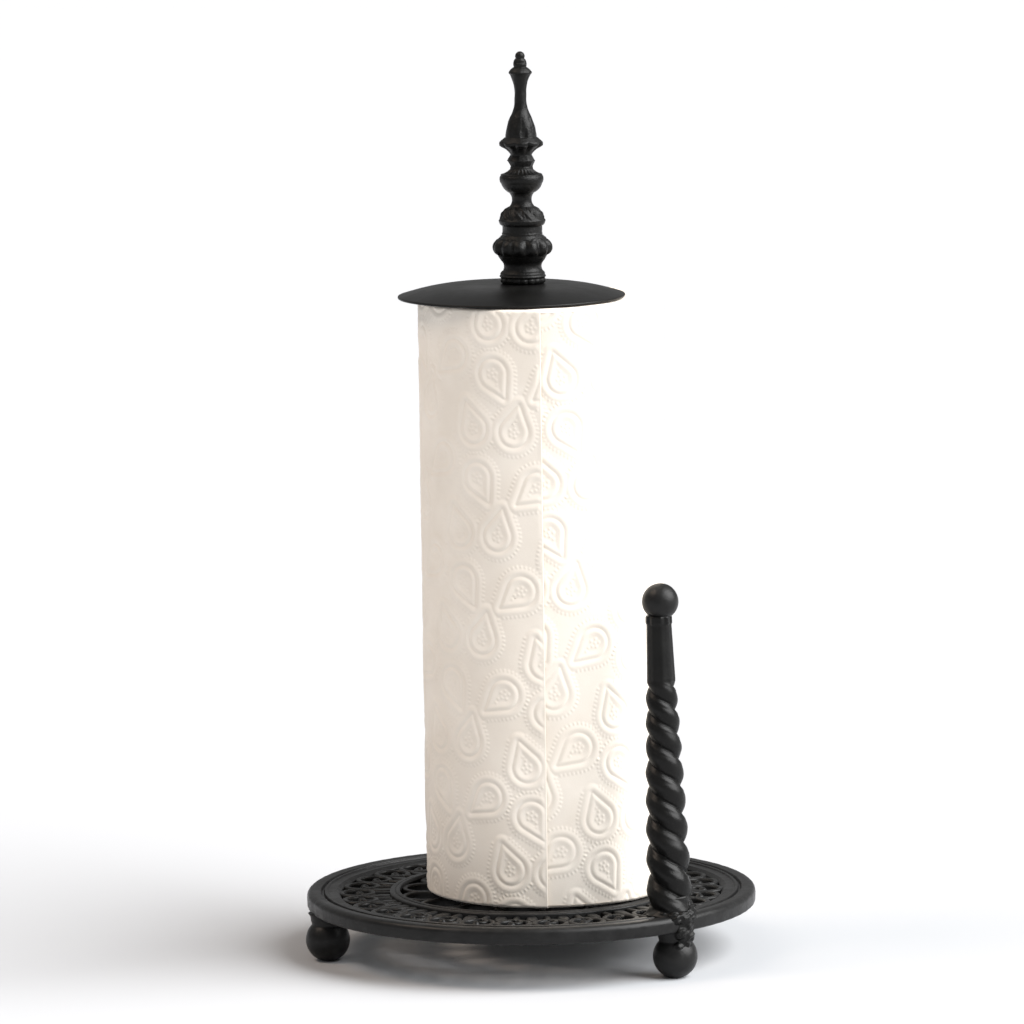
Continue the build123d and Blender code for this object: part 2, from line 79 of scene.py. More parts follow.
def colour(text):
    """A linear colour from an sRGB hex value."""
    values = [int(text[i:i + 2], 16) / 255 for i in (1, 3, 5)]
    linear = [v / 12.92 if v <= 0.04045 else ((v + 0.055) / 1.055) ** 2.4 for v in values]
    return (*linear, 1.0)


def add_node(material, kind, links=None, inputs=None, **settings):
    """One shader node: its settings, its fixed inputs and its links from other nodes."""
    tree = material.node_tree
    node = tree.nodes.new(kind)
    for name, value in settings.items():
        setattr(node, name, value)
    for name, value in (inputs or {}).items():
        node.inputs[name].default_value = value
    for name, socket in (links or {}).items():
        tree.links.new(socket, node.inputs[name])
    return node


def new_material(name):
    """An empty material with its output and surface nodes, and Object coordinates."""
    material = bpy.data.materials.new(name)
    material.use_nodes = True
    material.node_tree.nodes.clear()
    surface = add_node(material, "ShaderNodeBsdfPrincipled")
    output = add_node(material, "ShaderNodeOutputMaterial")
    material.node_tree.links.new(surface.outputs["BSDF"], output.inputs["Surface"])
    place = add_node(material, "ShaderNodeTexCoord").outputs["Object"]
    return material, surface, place


def waves_per_metre(spacing_mm):
    """A noise texture's scale for a grain of this spacing."""
    return 1.0 / (spacing_mm * MM)


def ramp(material, factor, stops):
    """A colour ramp from (position, hex colour) pairs."""
    node = add_node(material, "ShaderNodeValToRGB", links={"Fac": factor})
    for index, (position, text) in enumerate(stops):
        if index < 2:
            stop = node.color_ramp.elements[index]
            stop.position = position
        else:
            stop = node.color_ramp.elements.new(position)
        stop.color = colour(text)
    return node.outputs["Color"]


print("helpers ready")

# %% [markdown]
# Most of the stand is sand-cast iron under semi-matte black paint. Sand leaves a skin of shallow
# grain one to three millimetres across, and the paint rounds it over and pools a little, so the
# gloss changes from place to place. A fine noise makes the bump, and a broad one moves the colour
# and the roughness. The base, the feet and the arm's ball get a greyer copy of the same black paint
# than the arm, the cap and the finial: painted light, for the light that falls on the rim's top and
# side.

# %% Cast iron under black paint


def painted_iron(name, grain_mm, grain_depth_mm, roughness_low, roughness_high, dark, light):
    """Black paint over iron, with a cast grain of the given size and depth."""
    material, surface, place = new_material(name)
    broad = add_node(
        material, "ShaderNodeTexNoise", {"Vector": place},
        {"Scale": waves_per_metre(14.0), "Detail": 3.0, "Roughness": 0.6},
    ).outputs["Fac"]
    grain = add_node(
        material, "ShaderNodeTexNoise", {"Vector": place},
        {"Scale": waves_per_metre(grain_mm), "Detail": 4.0, "Roughness": 0.65},
    ).outputs["Fac"]
    surface.inputs["Metallic"].default_value = 0.0
    surface.inputs["IOR"].default_value = 1.5
    surface.inputs["Specular IOR Level"].default_value = 0.22
    tint = ramp(material, broad, ((0.3, dark), (0.7, light)))
    material.node_tree.links.new(tint, surface.inputs["Base Color"])
    gloss = add_node(
        material, "ShaderNodeMapRange", {"Value": broad},
        {"From Min": 0.3, "From Max": 0.7, "To Min": roughness_low, "To Max": roughness_high},
    ).outputs["Result"]
    material.node_tree.links.new(gloss, surface.inputs["Roughness"])
    bump = add_node(
        material, "ShaderNodeBump", {"Height": grain},
        {"Strength": 0.6, "Distance": grain_depth_mm * MM},
    ).outputs["Normal"]
    material.node_tree.links.new(bump, surface.inputs["Normal"])
    return material


# One black paint throughout; this first copy is painted lighter, as painted light on the lit base.
iron_with_painted_light = painted_iron("black_iron_with_painted_light", 2.2, 0.24, 0.30, 0.46, "#0d0d0d", "#202020")
arm_iron = painted_iron("black_painted_arm_iron", 2.2, 0.24, 0.30, 0.46, "#060606", "#0f0f0e")
cap_steel = painted_iron("black_painted_spun_steel", 2.6, 0.05, 0.33, 0.42, "#050505", "#0d0d0c")
finial_iron = painted_iron("black_painted_finial_iron", 1.7, 0.55, 0.32, 0.50, "#050505", "#0d0d0c")
print("made", iron_with_painted_light.name, arm_iron.name, cap_steel.name, finial_iron.name)

# %% [markdown]
# The fasteners inside are zinc-plated steel: a bright grey, slightly blue metal with a soft,
# uneven gloss. Metal keeps the default IOR, and its colour is its reflection.

# %% Zinc-plated steel
zinc, surface, place = new_material("zinc_plated_steel")
spangle = add_node(
    zinc, "ShaderNodeTexNoise", {"Vector": place},
    {"Scale": waves_per_metre(3.0), "Detail": 2.0},
).outputs["Fac"]
surface.inputs["Metallic"].default_value = 1.0
tint = ramp(zinc, spangle, ((0.35, "#a9acae"), (0.65, "#c3c6c8")))
zinc.node_tree.links.new(tint, surface.inputs["Base Color"])
gloss = add_node(
    zinc, "ShaderNodeMapRange", {"Value": spangle}, {"To Min": 0.25, "To Max": 0.45}
).outputs["Result"]
zinc.node_tree.links.new(gloss, surface.inputs["Roughness"])
print("made", zinc.name)

# %% [markdown]
# Kitchen paper is creped tissue: soft white pulp with short fibres and a faint warm tone. It
# scatters nearly all light, so it has no clear gloss. Fibres about a millimetre long show
# as a fine bump, and a broad noise keeps the white from being one flat colour.

# %% Embossed tissue paper
paper, surface, place = new_material("creped_tissue_paper")
fibres = add_node(
    paper, "ShaderNodeTexNoise", {"Vector": place},
    {"Scale": waves_per_metre(0.9), "Detail": 5.0, "Roughness": 0.7},
).outputs["Fac"]
clouds = add_node(
    paper, "ShaderNodeTexNoise", {"Vector": place},
    {"Scale": waves_per_metre(22.0), "Detail": 3.0},
).outputs["Fac"]
tint = ramp(paper, clouds, ((0.35, "#ede4d8"), (0.65, "#f4ece1")))
paper.node_tree.links.new(tint, surface.inputs["Base Color"])
surface.inputs["Roughness"].default_value = 0.9
surface.inputs["Specular IOR Level"].default_value = 0.2
surface.inputs["Sheen Weight"].default_value = 0.15
surface.inputs["Sheen Roughness"].default_value = 0.5
bump = add_node(
    paper, "ShaderNodeBump", {"Height": fibres}, {"Strength": 0.35, "Distance": 0.12 * MM}
).outputs["Normal"]
paper.node_tree.links.new(bump, surface.inputs["Normal"])
print("made", paper.name)

# %% [markdown]
# The core is spirally wound grey-brown board. A noise gives the recycled pulp its mottled tone
# and a fine bump.

# %% Wound core board
board, surface, place = new_material("wound_core_board")
pulp = add_node(
    board, "ShaderNodeTexNoise", {"Vector": place},
    {"Scale": waves_per_metre(1.2), "Detail": 5.0, "Roughness": 0.7},
).outputs["Fac"]
tint = ramp(board, pulp, ((0.3, "#8f7557"), (0.7, "#b4997a")))
board.node_tree.links.new(tint, surface.inputs["Base Color"])
surface.inputs["Roughness"].default_value = 0.92
surface.inputs["Specular IOR Level"].default_value = 0.2
bump = add_node(
    board, "ShaderNodeBump", {"Height": pulp}, {"Strength": 0.4, "Distance": 0.1 * MM}
).outputs["Normal"]
board.node_tree.links.new(bump, surface.inputs["Normal"])
print("made", board.name)

# %% [markdown]
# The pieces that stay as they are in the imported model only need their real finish: the rod is
# painted like the cap, the fasteners are zinc, and the core is board.

# %% Finish for the pieces inside
FINISH_INSIDE = {
    "center_rod": cap_steel,
    "arm_stud": zinc,
    "foot_stud_left": zinc,
    "foot_stud_back": zinc,
    "arm_ball_stud": zinc,
    "base_bolt": zinc,
    "base_washer": zinc,
    "base_lock_washer": zinc,
    "finial_stud": zinc,
    "cap_washer": zinc,
    "finial_washer": zinc,
    "paper_core": board,
}
for node_name, material in FINISH_INSIDE.items():
    nodes[node_name].data.materials.clear()
    nodes[node_name].data.materials.append(material)
print("finished", len(FINISH_INSIDE), "carried-over pieces")

# %% [markdown]
# Turned and cast shapes begin as an outline that is spun round the upright axis. An outline is a
# list of (radius, height) points in millimetres. One helper rounds its corners, because no
# casting has a sharp one. Another builds it by hand-like steps: a plane is merged to one vertex,
# the vertex is extruded from point to point, and the line is spun a full turn.

# %% Outline and spin helpers
ARC_STEPS = 5


def rounded_outline(corners, closed=True):
    """(radius, height, rounding) corners as points, each corner an arc of its rounding."""
    points = []
    count = len(corners)
    for index, (x, z, rounding) in enumerate(corners):
        here = Vector((x, z))
        at_end = not closed and index in (0, count - 1)
        if rounding == 0 or at_end:
            points.append((x, z))
            continue
        before = (Vector(corners[index - 1][:2]) - here).normalized()
        after = (Vector(corners[(index + 1) % count][:2]) - here).normalized()
        half = before.angle(after) / 2
        middle = here + (before + after).normalized() * (rounding / math.sin(half))
        start = here + before * (rounding / math.tan(half)) - middle
        end = here + after * (rounding / math.tan(half)) - middle
        turn = math.atan2(start.x * end.y - start.y * end.x, start.dot(end))
        for step in range(ARC_STEPS + 1):
            angle = turn * step / ARC_STEPS
            c, s = math.cos(angle), math.sin(angle)
            away = (start.x * c - start.y * s, start.x * s + start.y * c)
            points.append((middle.x + away[0], middle.y + away[1]))
    if closed:
        points.append(points[0])
    return points


def select_none():
    """Leave edit mode and deselect everything."""
    if bpy.context.object and bpy.context.object.mode != "OBJECT":
        bpy.ops.object.mode_set(mode="OBJECT")
    bpy.ops.object.select_all(action="DESELECT")


def spun(name, outline, steps):
    """A solid of revolution from (radius, height) points in millimetres."""
    select_none()
    bpy.ops.mesh.primitive_plane_add(size=MM)
    piece = bpy.context.object
    piece.name = name
    bpy.ops.object.mode_set(mode="EDIT")
    bpy.ops.mesh.select_mode(type="VERT")
    bpy.ops.mesh.merge(type="CENTER")
    bpy.ops.transform.translate(value=(outline[0][0] * MM, 0.0, outline[0][1] * MM))
    for here, there in zip(outline, outline[1:]):
        step = ((there[0] - here[0]) * MM, 0.0, (there[1] - here[1]) * MM)
        bpy.ops.mesh.extrude_vertices_move(TRANSFORM_OT_translate={"value": step})
    bpy.ops.mesh.select_all(action="SELECT")
    bpy.ops.mesh.spin(steps=steps, angle=math.tau, center=(0, 0, 0), axis=(0, 0, 1))
    bpy.ops.mesh.select_all(action="SELECT")
    bpy.ops.mesh.remove_doubles(threshold=0.002 * MM)
    bpy.ops.mesh.normals_make_consistent(inside=False)
    bpy.ops.object.mode_set(mode="OBJECT")
    bpy.ops.object.shade_smooth()
    return piece


def points_of(piece):
    """A piece's vertices in millimetres, as an array."""
    flat = np.zeros(len(piece.data.vertices) * 3, np.float32)
    piece.data.vertices.foreach_get("co", flat)
    return flat.reshape(-1, 3).astype(float) / MM


def set_points(piece, points):
    """Put a piece's vertices at these places, in millimetres."""
    piece.data.vertices.foreach_set("co", (points * MM).astype(np.float32).ravel())
    piece.data.update()


def move_mesh(piece, matrix):
    """Carry a piece's mesh by a matrix in metres, leaving its object at the origin."""
    piece.data.transform(matrix)
    piece.data.update()


def finish_piece(piece, body, material, slot_name, *stands_for):
    """Give a piece its finish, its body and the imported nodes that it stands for."""
    piece.data.materials.clear()
    piece.data.materials.append(material)
    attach(piece, body)
    if stands_for:
        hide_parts(*stands_for)
    piece.data.calc_loop_triangles()
    print(piece.name, len(piece.data.loop_triangles), "triangles")
    return piece


print("outline and spin helpers ready")

# %% [markdown]
# Openwork and loops are ribbons of metal that follow a path in plan. A ribbon starts as a grid:
# one row of the grid goes round the ribbon's rounded section, and the rows follow the path. The
# seam is then merged, and on an open path the last rows close into a round end.

# %% Ribbon helper


def grid_piece(name, columns, rows):
    """A flat grid primitive with this many vertices each way."""
    select_none()
    bpy.ops.mesh.primitive_grid_add(
        x_subdivisions=columns - 1, y_subdivisions=rows - 1, size=MM
    )
    piece = bpy.context.object
    piece.name = name
    return piece


def close_seams(piece, gap_mm=0.002):
    """Merge the vertices that meet, turn the normals outward and shade smooth."""
    select_none()
    piece.select_set(True)
    bpy.context.view_layer.objects.active = piece
    bpy.ops.object.mode_set(mode="EDIT")
    bpy.ops.mesh.select_all(action="SELECT")
    bpy.ops.mesh.remove_doubles(threshold=gap_mm * MM)
    bpy.ops.mesh.normals_make_consistent(inside=False)
    bpy.ops.object.mode_set(mode="OBJECT")
    bpy.ops.object.shade_smooth()
    return piece


def rounded_section(width, low, high, rounding):
    """A ribbon's section: (across, height) points round a rounded rectangle."""
    half = width / 2
    corners = [(-half, low, rounding / 2), (half, low, rounding / 2)]
    corners += [(half, high, rounding), (-half, high, rounding)]
    return rounded_outline(corners)


def ribbon(name, path, section, closed=False, widths=None):
    """A ribbon along (x, y) points in millimetres, closed or with round ends."""
    path = np.array(path, float)
    section = np.array(section, float)
    widths = np.ones(len(path)) if widths is None else np.array(widths, float)
    if closed:
        along = np.roll(path, -1, 0) - np.roll(path, 1, 0)
    else:
        along = np.gradient(path, axis=0)
    along /= np.linalg.norm(along, axis=1)[:, None]
    if closed:
        path = np.vstack([path, path[:1]])
        along = np.vstack([along, along[:1]])
        widths = np.append(widths, widths[0])
    else:
        reach = section[:, 0].max()
        turns = np.radians([90.0, 60.0, 30.0])
        start = [path[0] - along[0] * reach * widths[0] * math.sin(t) for t in turns]
        end = [path[-1] + along[-1] * reach * widths[-1] * math.sin(t) for t in turns[::-1]]
        path = np.vstack([start, path, end])
        along = np.vstack([[along[0]] * 3, along, [along[-1]] * 3])
        taper = np.cos(turns)
        widths = np.concatenate([taper * widths[0], widths, taper[::-1] * widths[-1]])
    across = np.stack([along[:, 1], -along[:, 0]], 1)
    piece = grid_piece(name, len(section), len(path))
    points = np.zeros((len(path), len(section), 3))
    reach_across = section[None, :, 0] * widths[:, None]
    points[:, :, :2] = path[:, None, :] + across[:, None, :] * reach_across[:, :, None]
    points[:, :, 2] = section[None, :, 1]
    set_points(piece, points.reshape(-1, 3))
    return close_seams(piece)


def arc(centre, radius, start, sweep, steps):
    """Points in plan along an arc, angles in degrees."""
    angles = np.radians(np.linspace(start, start + sweep, steps + 1))
    return [(centre[0] + radius * math.cos(a), centre[1] + radius * math.sin(a)) for a in angles]


def joined(name, pieces):
    """One piece from several."""
    select_none()
    for piece in pieces:
        piece.select_set(True)
    bpy.context.view_layer.objects.active = pieces[0]
    if len(pieces) > 1:
        bpy.ops.object.join()
    pieces[0].name = name
    return pieces[0]


def copied_round(name, unit, count, first_turn=0.0):
    """A unit copied evenly round the upright axis and joined into one piece."""
    pieces = [unit]
    for index in range(1, count):
        select_none()
        unit.select_set(True)
        bpy.context.view_layer.objects.active = unit
        bpy.ops.object.duplicate()
        copy = bpy.context.object
        turn = Quaternion((0, 0, 1), math.tau * index / count + math.radians(first_turn))
        move_mesh(copy, turn.to_matrix().to_4x4())
        pieces.append(copy)
    move_mesh(unit, Quaternion((0, 0, 1), math.radians(first_turn)).to_matrix().to_4x4())
    return joined(name, pieces)


def uneven(piece, amount, pitch_mm=9.0):
    """Push a casting's skin in and out a little, as a hand-made sand mould does."""
    points = points_of(piece)
    x, y, z = (points * (math.tau / pitch_mm)).T
    push = np.sin(x * 0.83 + 1.7 * np.sin(y * 0.61)) + np.sin(y * 1.07 + 1.3 * np.sin(z * 0.9))
    push += 0.7 * np.sin(2.3 * x - 1.9 * y + 1.1 * z) + 0.5 * np.sin(3.1 * y + 2.7 * x)
    lift = np.sin(1.3 * x + 2.1 * y + 0.5) + 0.6 * np.sin(2.9 * x - 2.2 * y)
    radius = np.maximum(np.hypot(points[:, 0], points[:, 1]), 1e-6)
    points[:, 0] += points[:, 0] / radius * push * amount
    points[:, 1] += points[:, 1] / radius * push * amount
    points[:, 2] += lift * amount * 0.6
    set_points(piece, points)
    return piece


print("ribbon helpers ready")

# %% [markdown]
# The rim of the base is a wide ring. Its face has a full round outer band, then a deep groove
# with a fine raised line inside it, a flat band a little lower, and a bevel at the inner edge.

# %% Base rim
RIM_OUTSIDE = 106.0
RIM_TOP = 29.9
RIM_UNDER = 22.4
SPIN_STEPS = 256

rim_face = rounded_outline([
    (90.0, RIM_UNDER, 0.8),
    (RIM_OUTSIDE - 0.1, RIM_UNDER, 1.2),
    (RIM_OUTSIDE, RIM_TOP - 0.15, 2.7),
    (102.6, RIM_TOP + 0.05, 1.5),
    (99.5, RIM_TOP - 0.15, 0.35),
    (98.9, RIM_TOP - 1.5, 0.2),
    (98.0, RIM_TOP - 1.5, 0.2),
    (97.6, RIM_TOP - 0.1, 0.25),
    (96.6, RIM_TOP - 0.1, 0.3),
    (96.1, RIM_TOP - 0.75, 0.3),
    (92.2, RIM_TOP - 0.7, 0.6),
    (90.0, RIM_TOP - 2.2, 0.6),
])
base_rim = spun("base_rim", rim_face, SPIN_STEPS)
uneven(base_rim, 0.05)
finish_piece(base_rim, "stand", iron_with_painted_light, "black_cast_iron", "base_casting")

# %% [markdown]
# The inner ring stands almost as high as the rim. It is flat, with a bead along its inner side.

# %% Base inner ring
ring_face = rounded_outline([
    (61.8, 23.0, 0.5),
    (67.0, 23.0, 0.5),
    (67.0, 29.4, 0.8),
    (64.6, 29.4, 0.3),
    (64.2, 28.9, 0.2),
    (63.9, 29.6, 0.4),
    (62.2, 29.9, 0.7),
    (61.8, 28.4, 0.4),
])
base_inner_ring = spun("base_inner_ring", ring_face, SPIN_STEPS)
uneven(base_inner_ring, 0.04)
finish_piece(base_inner_ring, "stand", iron_with_painted_light, "black_cast_iron", "base_casting")

# %% [markdown]
# The hub carries the rod. It is a thick disc with a low step, bored for the bolt.

# %% Base hub
hub_face = rounded_outline([
    (4.3, 22.4, 0.0),
    (21.0, 22.4, 0.9),
    (21.0, 28.2, 1.0),
    (18.4, 28.4, 0.3),
    (17.8, 29.0, 0.5),
    (4.3, 29.0, 0.0),
])
base_hub = spun("base_hub", hub_face, 128)
uneven(base_hub, 0.03)
finish_piece(base_hub, "stand", iron_with_painted_light, "black_cast_iron", "base_casting")

# %% [markdown]
# Between the rim and the inner ring the casting is open scrollwork: thirty rings side by side.
# Each ring holds a curl that ends in a round eye, hangs on a short stem from the inner ring, and
# has a pointed leaf beside it. One unit is made of ribbons, then copied round thirty times.

# %% Base openwork
SCROLLS = 30
OPEN_LOW = 23.8
OPEN_HIGH = 28.4
SCROLL_CENTRE = 82.09
SCROLL_RADIUS = 8.906 - 1.35
CURL_CENTRE = SCROLL_CENTRE - 4.056
CURL_RADIUS = 3.1

wide = rounded_section(2.7, OPEN_LOW, OPEN_HIGH, 1.05)
slim = rounded_section(1.9, OPEN_LOW + 0.1, OPEN_HIGH - 0.1, 0.8)
loop_path = arc((SCROLL_CENTRE, 0.0), SCROLL_RADIUS, 0.0, 360.0, 44)[:-1]
loop = ribbon("loop", loop_path, wide, closed=True)
curl_path = arc((CURL_CENTRE, 0.0), CURL_RADIUS, 180.0, -200.0, 18)
curl = ribbon("curl", curl_path, slim, widths=np.linspace(1.25, 0.8, len(curl_path)))
stem = ribbon("stem", [(66.2, 0.0), (70.0, 0.0), (74.6, 0.0)], wide, widths=[1.25, 0.95, 1.1])

leaf_path = [(x, 0.0) for x in np.linspace(66.2, 78.4, 14)]
leaf_widths = [max(0.05, math.sin(math.pi * min(1.0, 0.28 + 0.72 * i / 13))) for i in range(14)]
leaf = ribbon("leaf", leaf_path, rounded_section(5.6, 24.2, 28.2, 1.2), widths=leaf_widths)
move_mesh(leaf, Quaternion((0, 0, 1), math.tau / SCROLLS / 2).to_matrix().to_4x4())

select_none()
bpy.ops.mesh.primitive_uv_sphere_add(segments=16, ring_count=10, radius=2.35 * MM)
eye = bpy.context.object
eye_points = points_of(eye)
eye_points += np.array([CURL_CENTRE + 3.1, -1.0, 26.2])
set_points(eye, eye_points)
bpy.ops.object.shade_smooth()

unit = joined("unit", [loop, curl, stem, leaf, eye])
base_openwork = copied_round("base_openwork", unit, SCROLLS)
uneven(base_openwork, 0.06, 7.0)
finish_piece(base_openwork, "stand", iron_with_painted_light, "black_cast_iron", "base_casting")

# %% [markdown]
# Inside the inner ring, fifteen round petals lean on each other, and a spoke with a small collar
# joins each one to the hub. These are under the roll, and show only when it is lifted off.

# %% Base petals
PETALS = 15
PETAL_CENTRE = 51.49
PETAL_RADIUS = 11.31 - 1.4
petal_section = rounded_section(2.8, OPEN_LOW, OPEN_HIGH, 1.0)
petal_path = arc((PETAL_CENTRE, 0.0), PETAL_RADIUS, 0.0, 360.0, 52)[:-1]
petal = ribbon("petal", petal_path, petal_section, closed=True)
spoke_path = [(x, 0.0) for x in np.linspace(20.4, 41.2, 12)]
spoke_widths = [1.0 + 0.95 * math.exp(-(((x - 34.6) / 1.7) ** 2)) for x, _ in spoke_path]
spoke = ribbon("spoke", spoke_path, petal_section, widths=spoke_widths)
petal_unit = joined("petal_unit", [petal, spoke])
base_petals = copied_round("base_petals", petal_unit, PETALS)
uneven(base_petals, 0.06, 7.0)
finish_piece(base_petals, "stand", iron_with_painted_light, "black_cast_iron", "base_casting")

# %% [markdown]
# Each foot is a ball with a short neck that widens softly into the underside of the rim. The
# outline runs from the flat that stands on the table, round the ball and up the neck.

# %% Ball feet
FOOT_BALL = 10.4
FOOT_CENTRE = 9.958
FOOT_NECK = 7.9

foot_outline = [(0.0, 0.0), (3.0, 0.0)]
ball_start = math.asin(3.0 / FOOT_BALL)
for step in range(1, 27):
    turn = ball_start + (math.radians(133.0) - ball_start) * step / 26
    x = FOOT_BALL * math.sin(turn)
    foot_outline.append((x, FOOT_CENTRE - FOOT_BALL * math.cos(turn)))
neck_x, neck_z = foot_outline[-1]
foot_outline += [(neck_x - 0.1, neck_z + 0.5), (neck_x, neck_z + 1.1), (neck_x + 0.3, neck_z + 2.0)]
foot_outline += [(FOOT_NECK + 0.2, 21.0), (FOOT_NECK + 0.8, 22.0)]
foot_outline += [(FOOT_NECK + 1.2, 22.6), (0.0, 22.6)]

FEET = (
    ("front_right", -47.7),
    ("left", -167.7),
    ("back", -287.7),
)
FOOT_REACH = 98.2
for side, azimuth in FEET:
    foot = spun("foot_" + side + "_ball", foot_outline, 72)
    foot_points = points_of(foot)
    turn = math.radians(azimuth)
    foot_points += np.array([FOOT_REACH * math.cos(turn), FOOT_REACH * math.sin(turn), 0.0])
    set_points(foot, foot_points)
    finish_piece(foot, "stand", iron_with_painted_light, "black_cast_iron", "foot_" + side)

# %% [markdown]
# The side arm stands on the rim over the front right foot and leans a little towards the rod. It
# is shaped in its own frame and then carried to its place. Two round strands twist round each
# other for most of its length. The twist tightens towards the top, where the arm becomes a plain
# shaft with ten faint facets and a small collar under the ball. Its foot spreads on the rim.

# %% Side arm
ARM_ROUND = 84
ARM_ROWS = 380
ARM_BASE = (95.1, 0.0, 29.9)
arm_turn = Quaternion((0, 0, 1), math.radians(-47.7))
arm_lean = Quaternion((0, 1, 0), math.radians(-2.3))
arm_foot = arm_turn @ Vector(ARM_BASE) * MM
arm_frame = (arm_turn @ arm_lean).to_matrix().to_4x4()
arm_frame.translation = arm_foot

TWIST_END = 108.0
ARM_TOP = 138.8
LOBE_LOW = 15.4
LOBE_TOP = 10.4
STRAND_LOW = 8.3
STRAND_TOP = 5.6
STRAND_SWELL = 0.35
SPREAD_LOW = 2.45
SPREAD_TOP = 1.45
SHAFT_LOW = 6.75
SHAFT_TOP = 5.75
SHAFT_FACETS = 10
FLARE_BLEND = 0.385


def smooth_step(value, low, high):
    """0 below low, 1 above high, and a soft rise between."""
    t = np.clip((value - low) / (high - low), 0.0, 1.0)
    return t * t * (3 - 2 * t)


def bump_at(value, middle, width):
    """A soft bump of height 1."""
    return np.exp(-(((value - middle) / width) ** 2))


def arm_radius(h, angle):
    """The arm's radius at a height and an angle, in millimetres."""
    step = (LOBE_LOW - LOBE_TOP) / TWIST_END
    climb = np.clip(h, 0.0, TWIST_END + 4.0)
    twist = -np.pi / step * np.log(LOBE_LOW / (LOBE_LOW - step * climb))
    up = np.clip(h / TWIST_END, 0.0, 1.0)
    strand = STRAND_LOW + (STRAND_TOP - STRAND_LOW) * up + STRAND_SWELL * np.sin(np.pi * up)
    spread = SPREAD_LOW + (SPREAD_TOP - SPREAD_LOW) * up
    side = np.cos(angle - twist)
    across = np.sin(angle - twist)
    round_part = np.sqrt(np.maximum(strand**2 - (spread * across) ** 2, 0.01))
    twisted = spread * np.abs(side) + round_part
    groove = np.exp(-((side / 0.13) ** 2))
    twisted -= 0.55 * groove * (1 - 0.2 * up)
    ridge_angle = np.arctan2(np.abs(across) * np.sign(across * side), np.abs(side))
    twisted += 0.22 * np.exp(-(((ridge_angle - 0.95) / 0.16) ** 2))
    t = np.clip((h - TWIST_END) / (ARM_TOP - TWIST_END), 0.0, 1.0)
    shaft = SHAFT_LOW + (SHAFT_TOP - SHAFT_LOW) * t
    facet = (angle / (math.tau / SHAFT_FACETS)) % 1.0 - 0.5
    shaft = shaft * (1.0 - 0.03 + 0.05 * np.abs(facet) ** 1.5 * 2.0)
    collar = smooth_step(h, 134.4, 135.4) * (1 - smooth_step(h, 138.0, 139.0))
    shaft += collar * (0.28 + 0.16 * np.cos(angle * SHAFT_FACETS))
    blend = smooth_step(h, TWIST_END - 2.5, TWIST_END + 1.5)
    radius = twisted * (1 - blend) + shaft * blend
    flare = 9.2 + 2.6 * np.clip(1 - h / 5.2, 0.0, 1.0) ** 2.0
    lumps = 0.55 * np.sin(3 * angle + 0.9 * h) + 0.4 * np.sin(7 * angle - 1.7 * h + 1.0)
    lumps += 0.9 * bump_at(h, 2.2, 1.3) * np.maximum(np.cos(angle - 0.9), 0.0) ** 2
    low = np.clip(1 - h / 8.0, 0.0, 1.0)
    flare = flare + lumps * low * 0.55
    weight = 1 / (1 + np.exp(-(flare - radius) / FLARE_BLEND))
    weight = weight * (h < 8.0)
    return radius * (1 - weight) + flare * weight


heights = np.concatenate([np.linspace(-1.2, 8.0, 40), np.linspace(8.0, ARM_TOP, ARM_ROWS)[1:]])
turns = np.linspace(0.0, math.tau, ARM_ROUND + 1)
height_grid, turn_grid = np.meshgrid(heights, turns, indexing="ij")
radius_grid = arm_radius(height_grid, turn_grid)
ripple = np.sin(height_grid * 0.9 + 2.0 * np.sin(turn_grid))
radius_grid += 0.07 * ripple * (height_grid < TWIST_END)
radius_grid[:, -1] = radius_grid[:, 0]
closing_row = np.zeros((1, ARM_ROUND + 1))
radius_grid = np.vstack([closing_row, radius_grid, closing_row])
height_grid = np.vstack([height_grid[:1], height_grid, height_grid[-1:]])
turn_grid = np.vstack([turn_grid[:1], turn_grid, turn_grid[-1:]])
side_arm = grid_piece("side_arm_twist", ARM_ROUND + 1, len(height_grid))
arm_points = np.stack(
    [radius_grid * np.cos(turn_grid), radius_grid * np.sin(turn_grid), height_grid], 2
)
set_points(side_arm, arm_points.reshape(-1, 3))
close_seams(side_arm)
move_mesh(side_arm, arm_frame)
finish_piece(side_arm, "stand", arm_iron, "black_cast_iron", "side_arm")

# %% [markdown]
# Where the arm, the rim and the front right foot meet, the casting is rough: metal has run into
# lumps on the rim in front of the arm, down the outer wall and onto the foot. Each lump is a
# ball. They are joined, given one skin by a remesh and a smooth, and then roughened.

# %% Rough metal at the arm's foot
LUMPS = (
    (58.6, -75.0, 29.0, 3.4),
    (61.6, -78.4, 28.6, 3.6),
    (65.6, -79.8, 28.6, 3.8),
    (69.4, -78.4, 28.8, 3.9),
    (72.2, -74.8, 29.2, 3.8),
    (72.6, -70.8, 30.4, 3.6),
    (71.4, -69.4, 34.4, 3.0),
    (71.0, -77.0, 25.4, 3.9),
    (68.6, -79.2, 22.0, 3.9),
    (71.4, -76.2, 20.4, 3.9),
    (70.0, -76.6, 17.0, 3.9),
    (71.4, -75.0, 14.6, 3.2),
    (67.2, -79.4, 15.2, 2.9),
)
LUMP_VOXEL = 0.45
LUMP_ROUGHNESS = 0.17
blobs = []
for x, y, z, size in LUMPS:
    select_none()
    bpy.ops.mesh.primitive_ico_sphere_add(subdivisions=3, radius=size * MM)
    blob = bpy.context.object
    set_points(blob, points_of(blob) + np.array([x, y, z]))
    blobs.append(blob)
arm_lumps = joined("arm_foot_lumps", blobs)
remesh = arm_lumps.modifiers.new("one_skin", "REMESH")
remesh.mode = "VOXEL"
remesh.voxel_size = LUMP_VOXEL * MM
soften = arm_lumps.modifiers.new("soften", "SMOOTH")
soften.iterations = 14
select_none()
arm_lumps.select_set(True)
bpy.context.view_layer.objects.active = arm_lumps
bpy.ops.object.modifier_apply(modifier="one_skin")
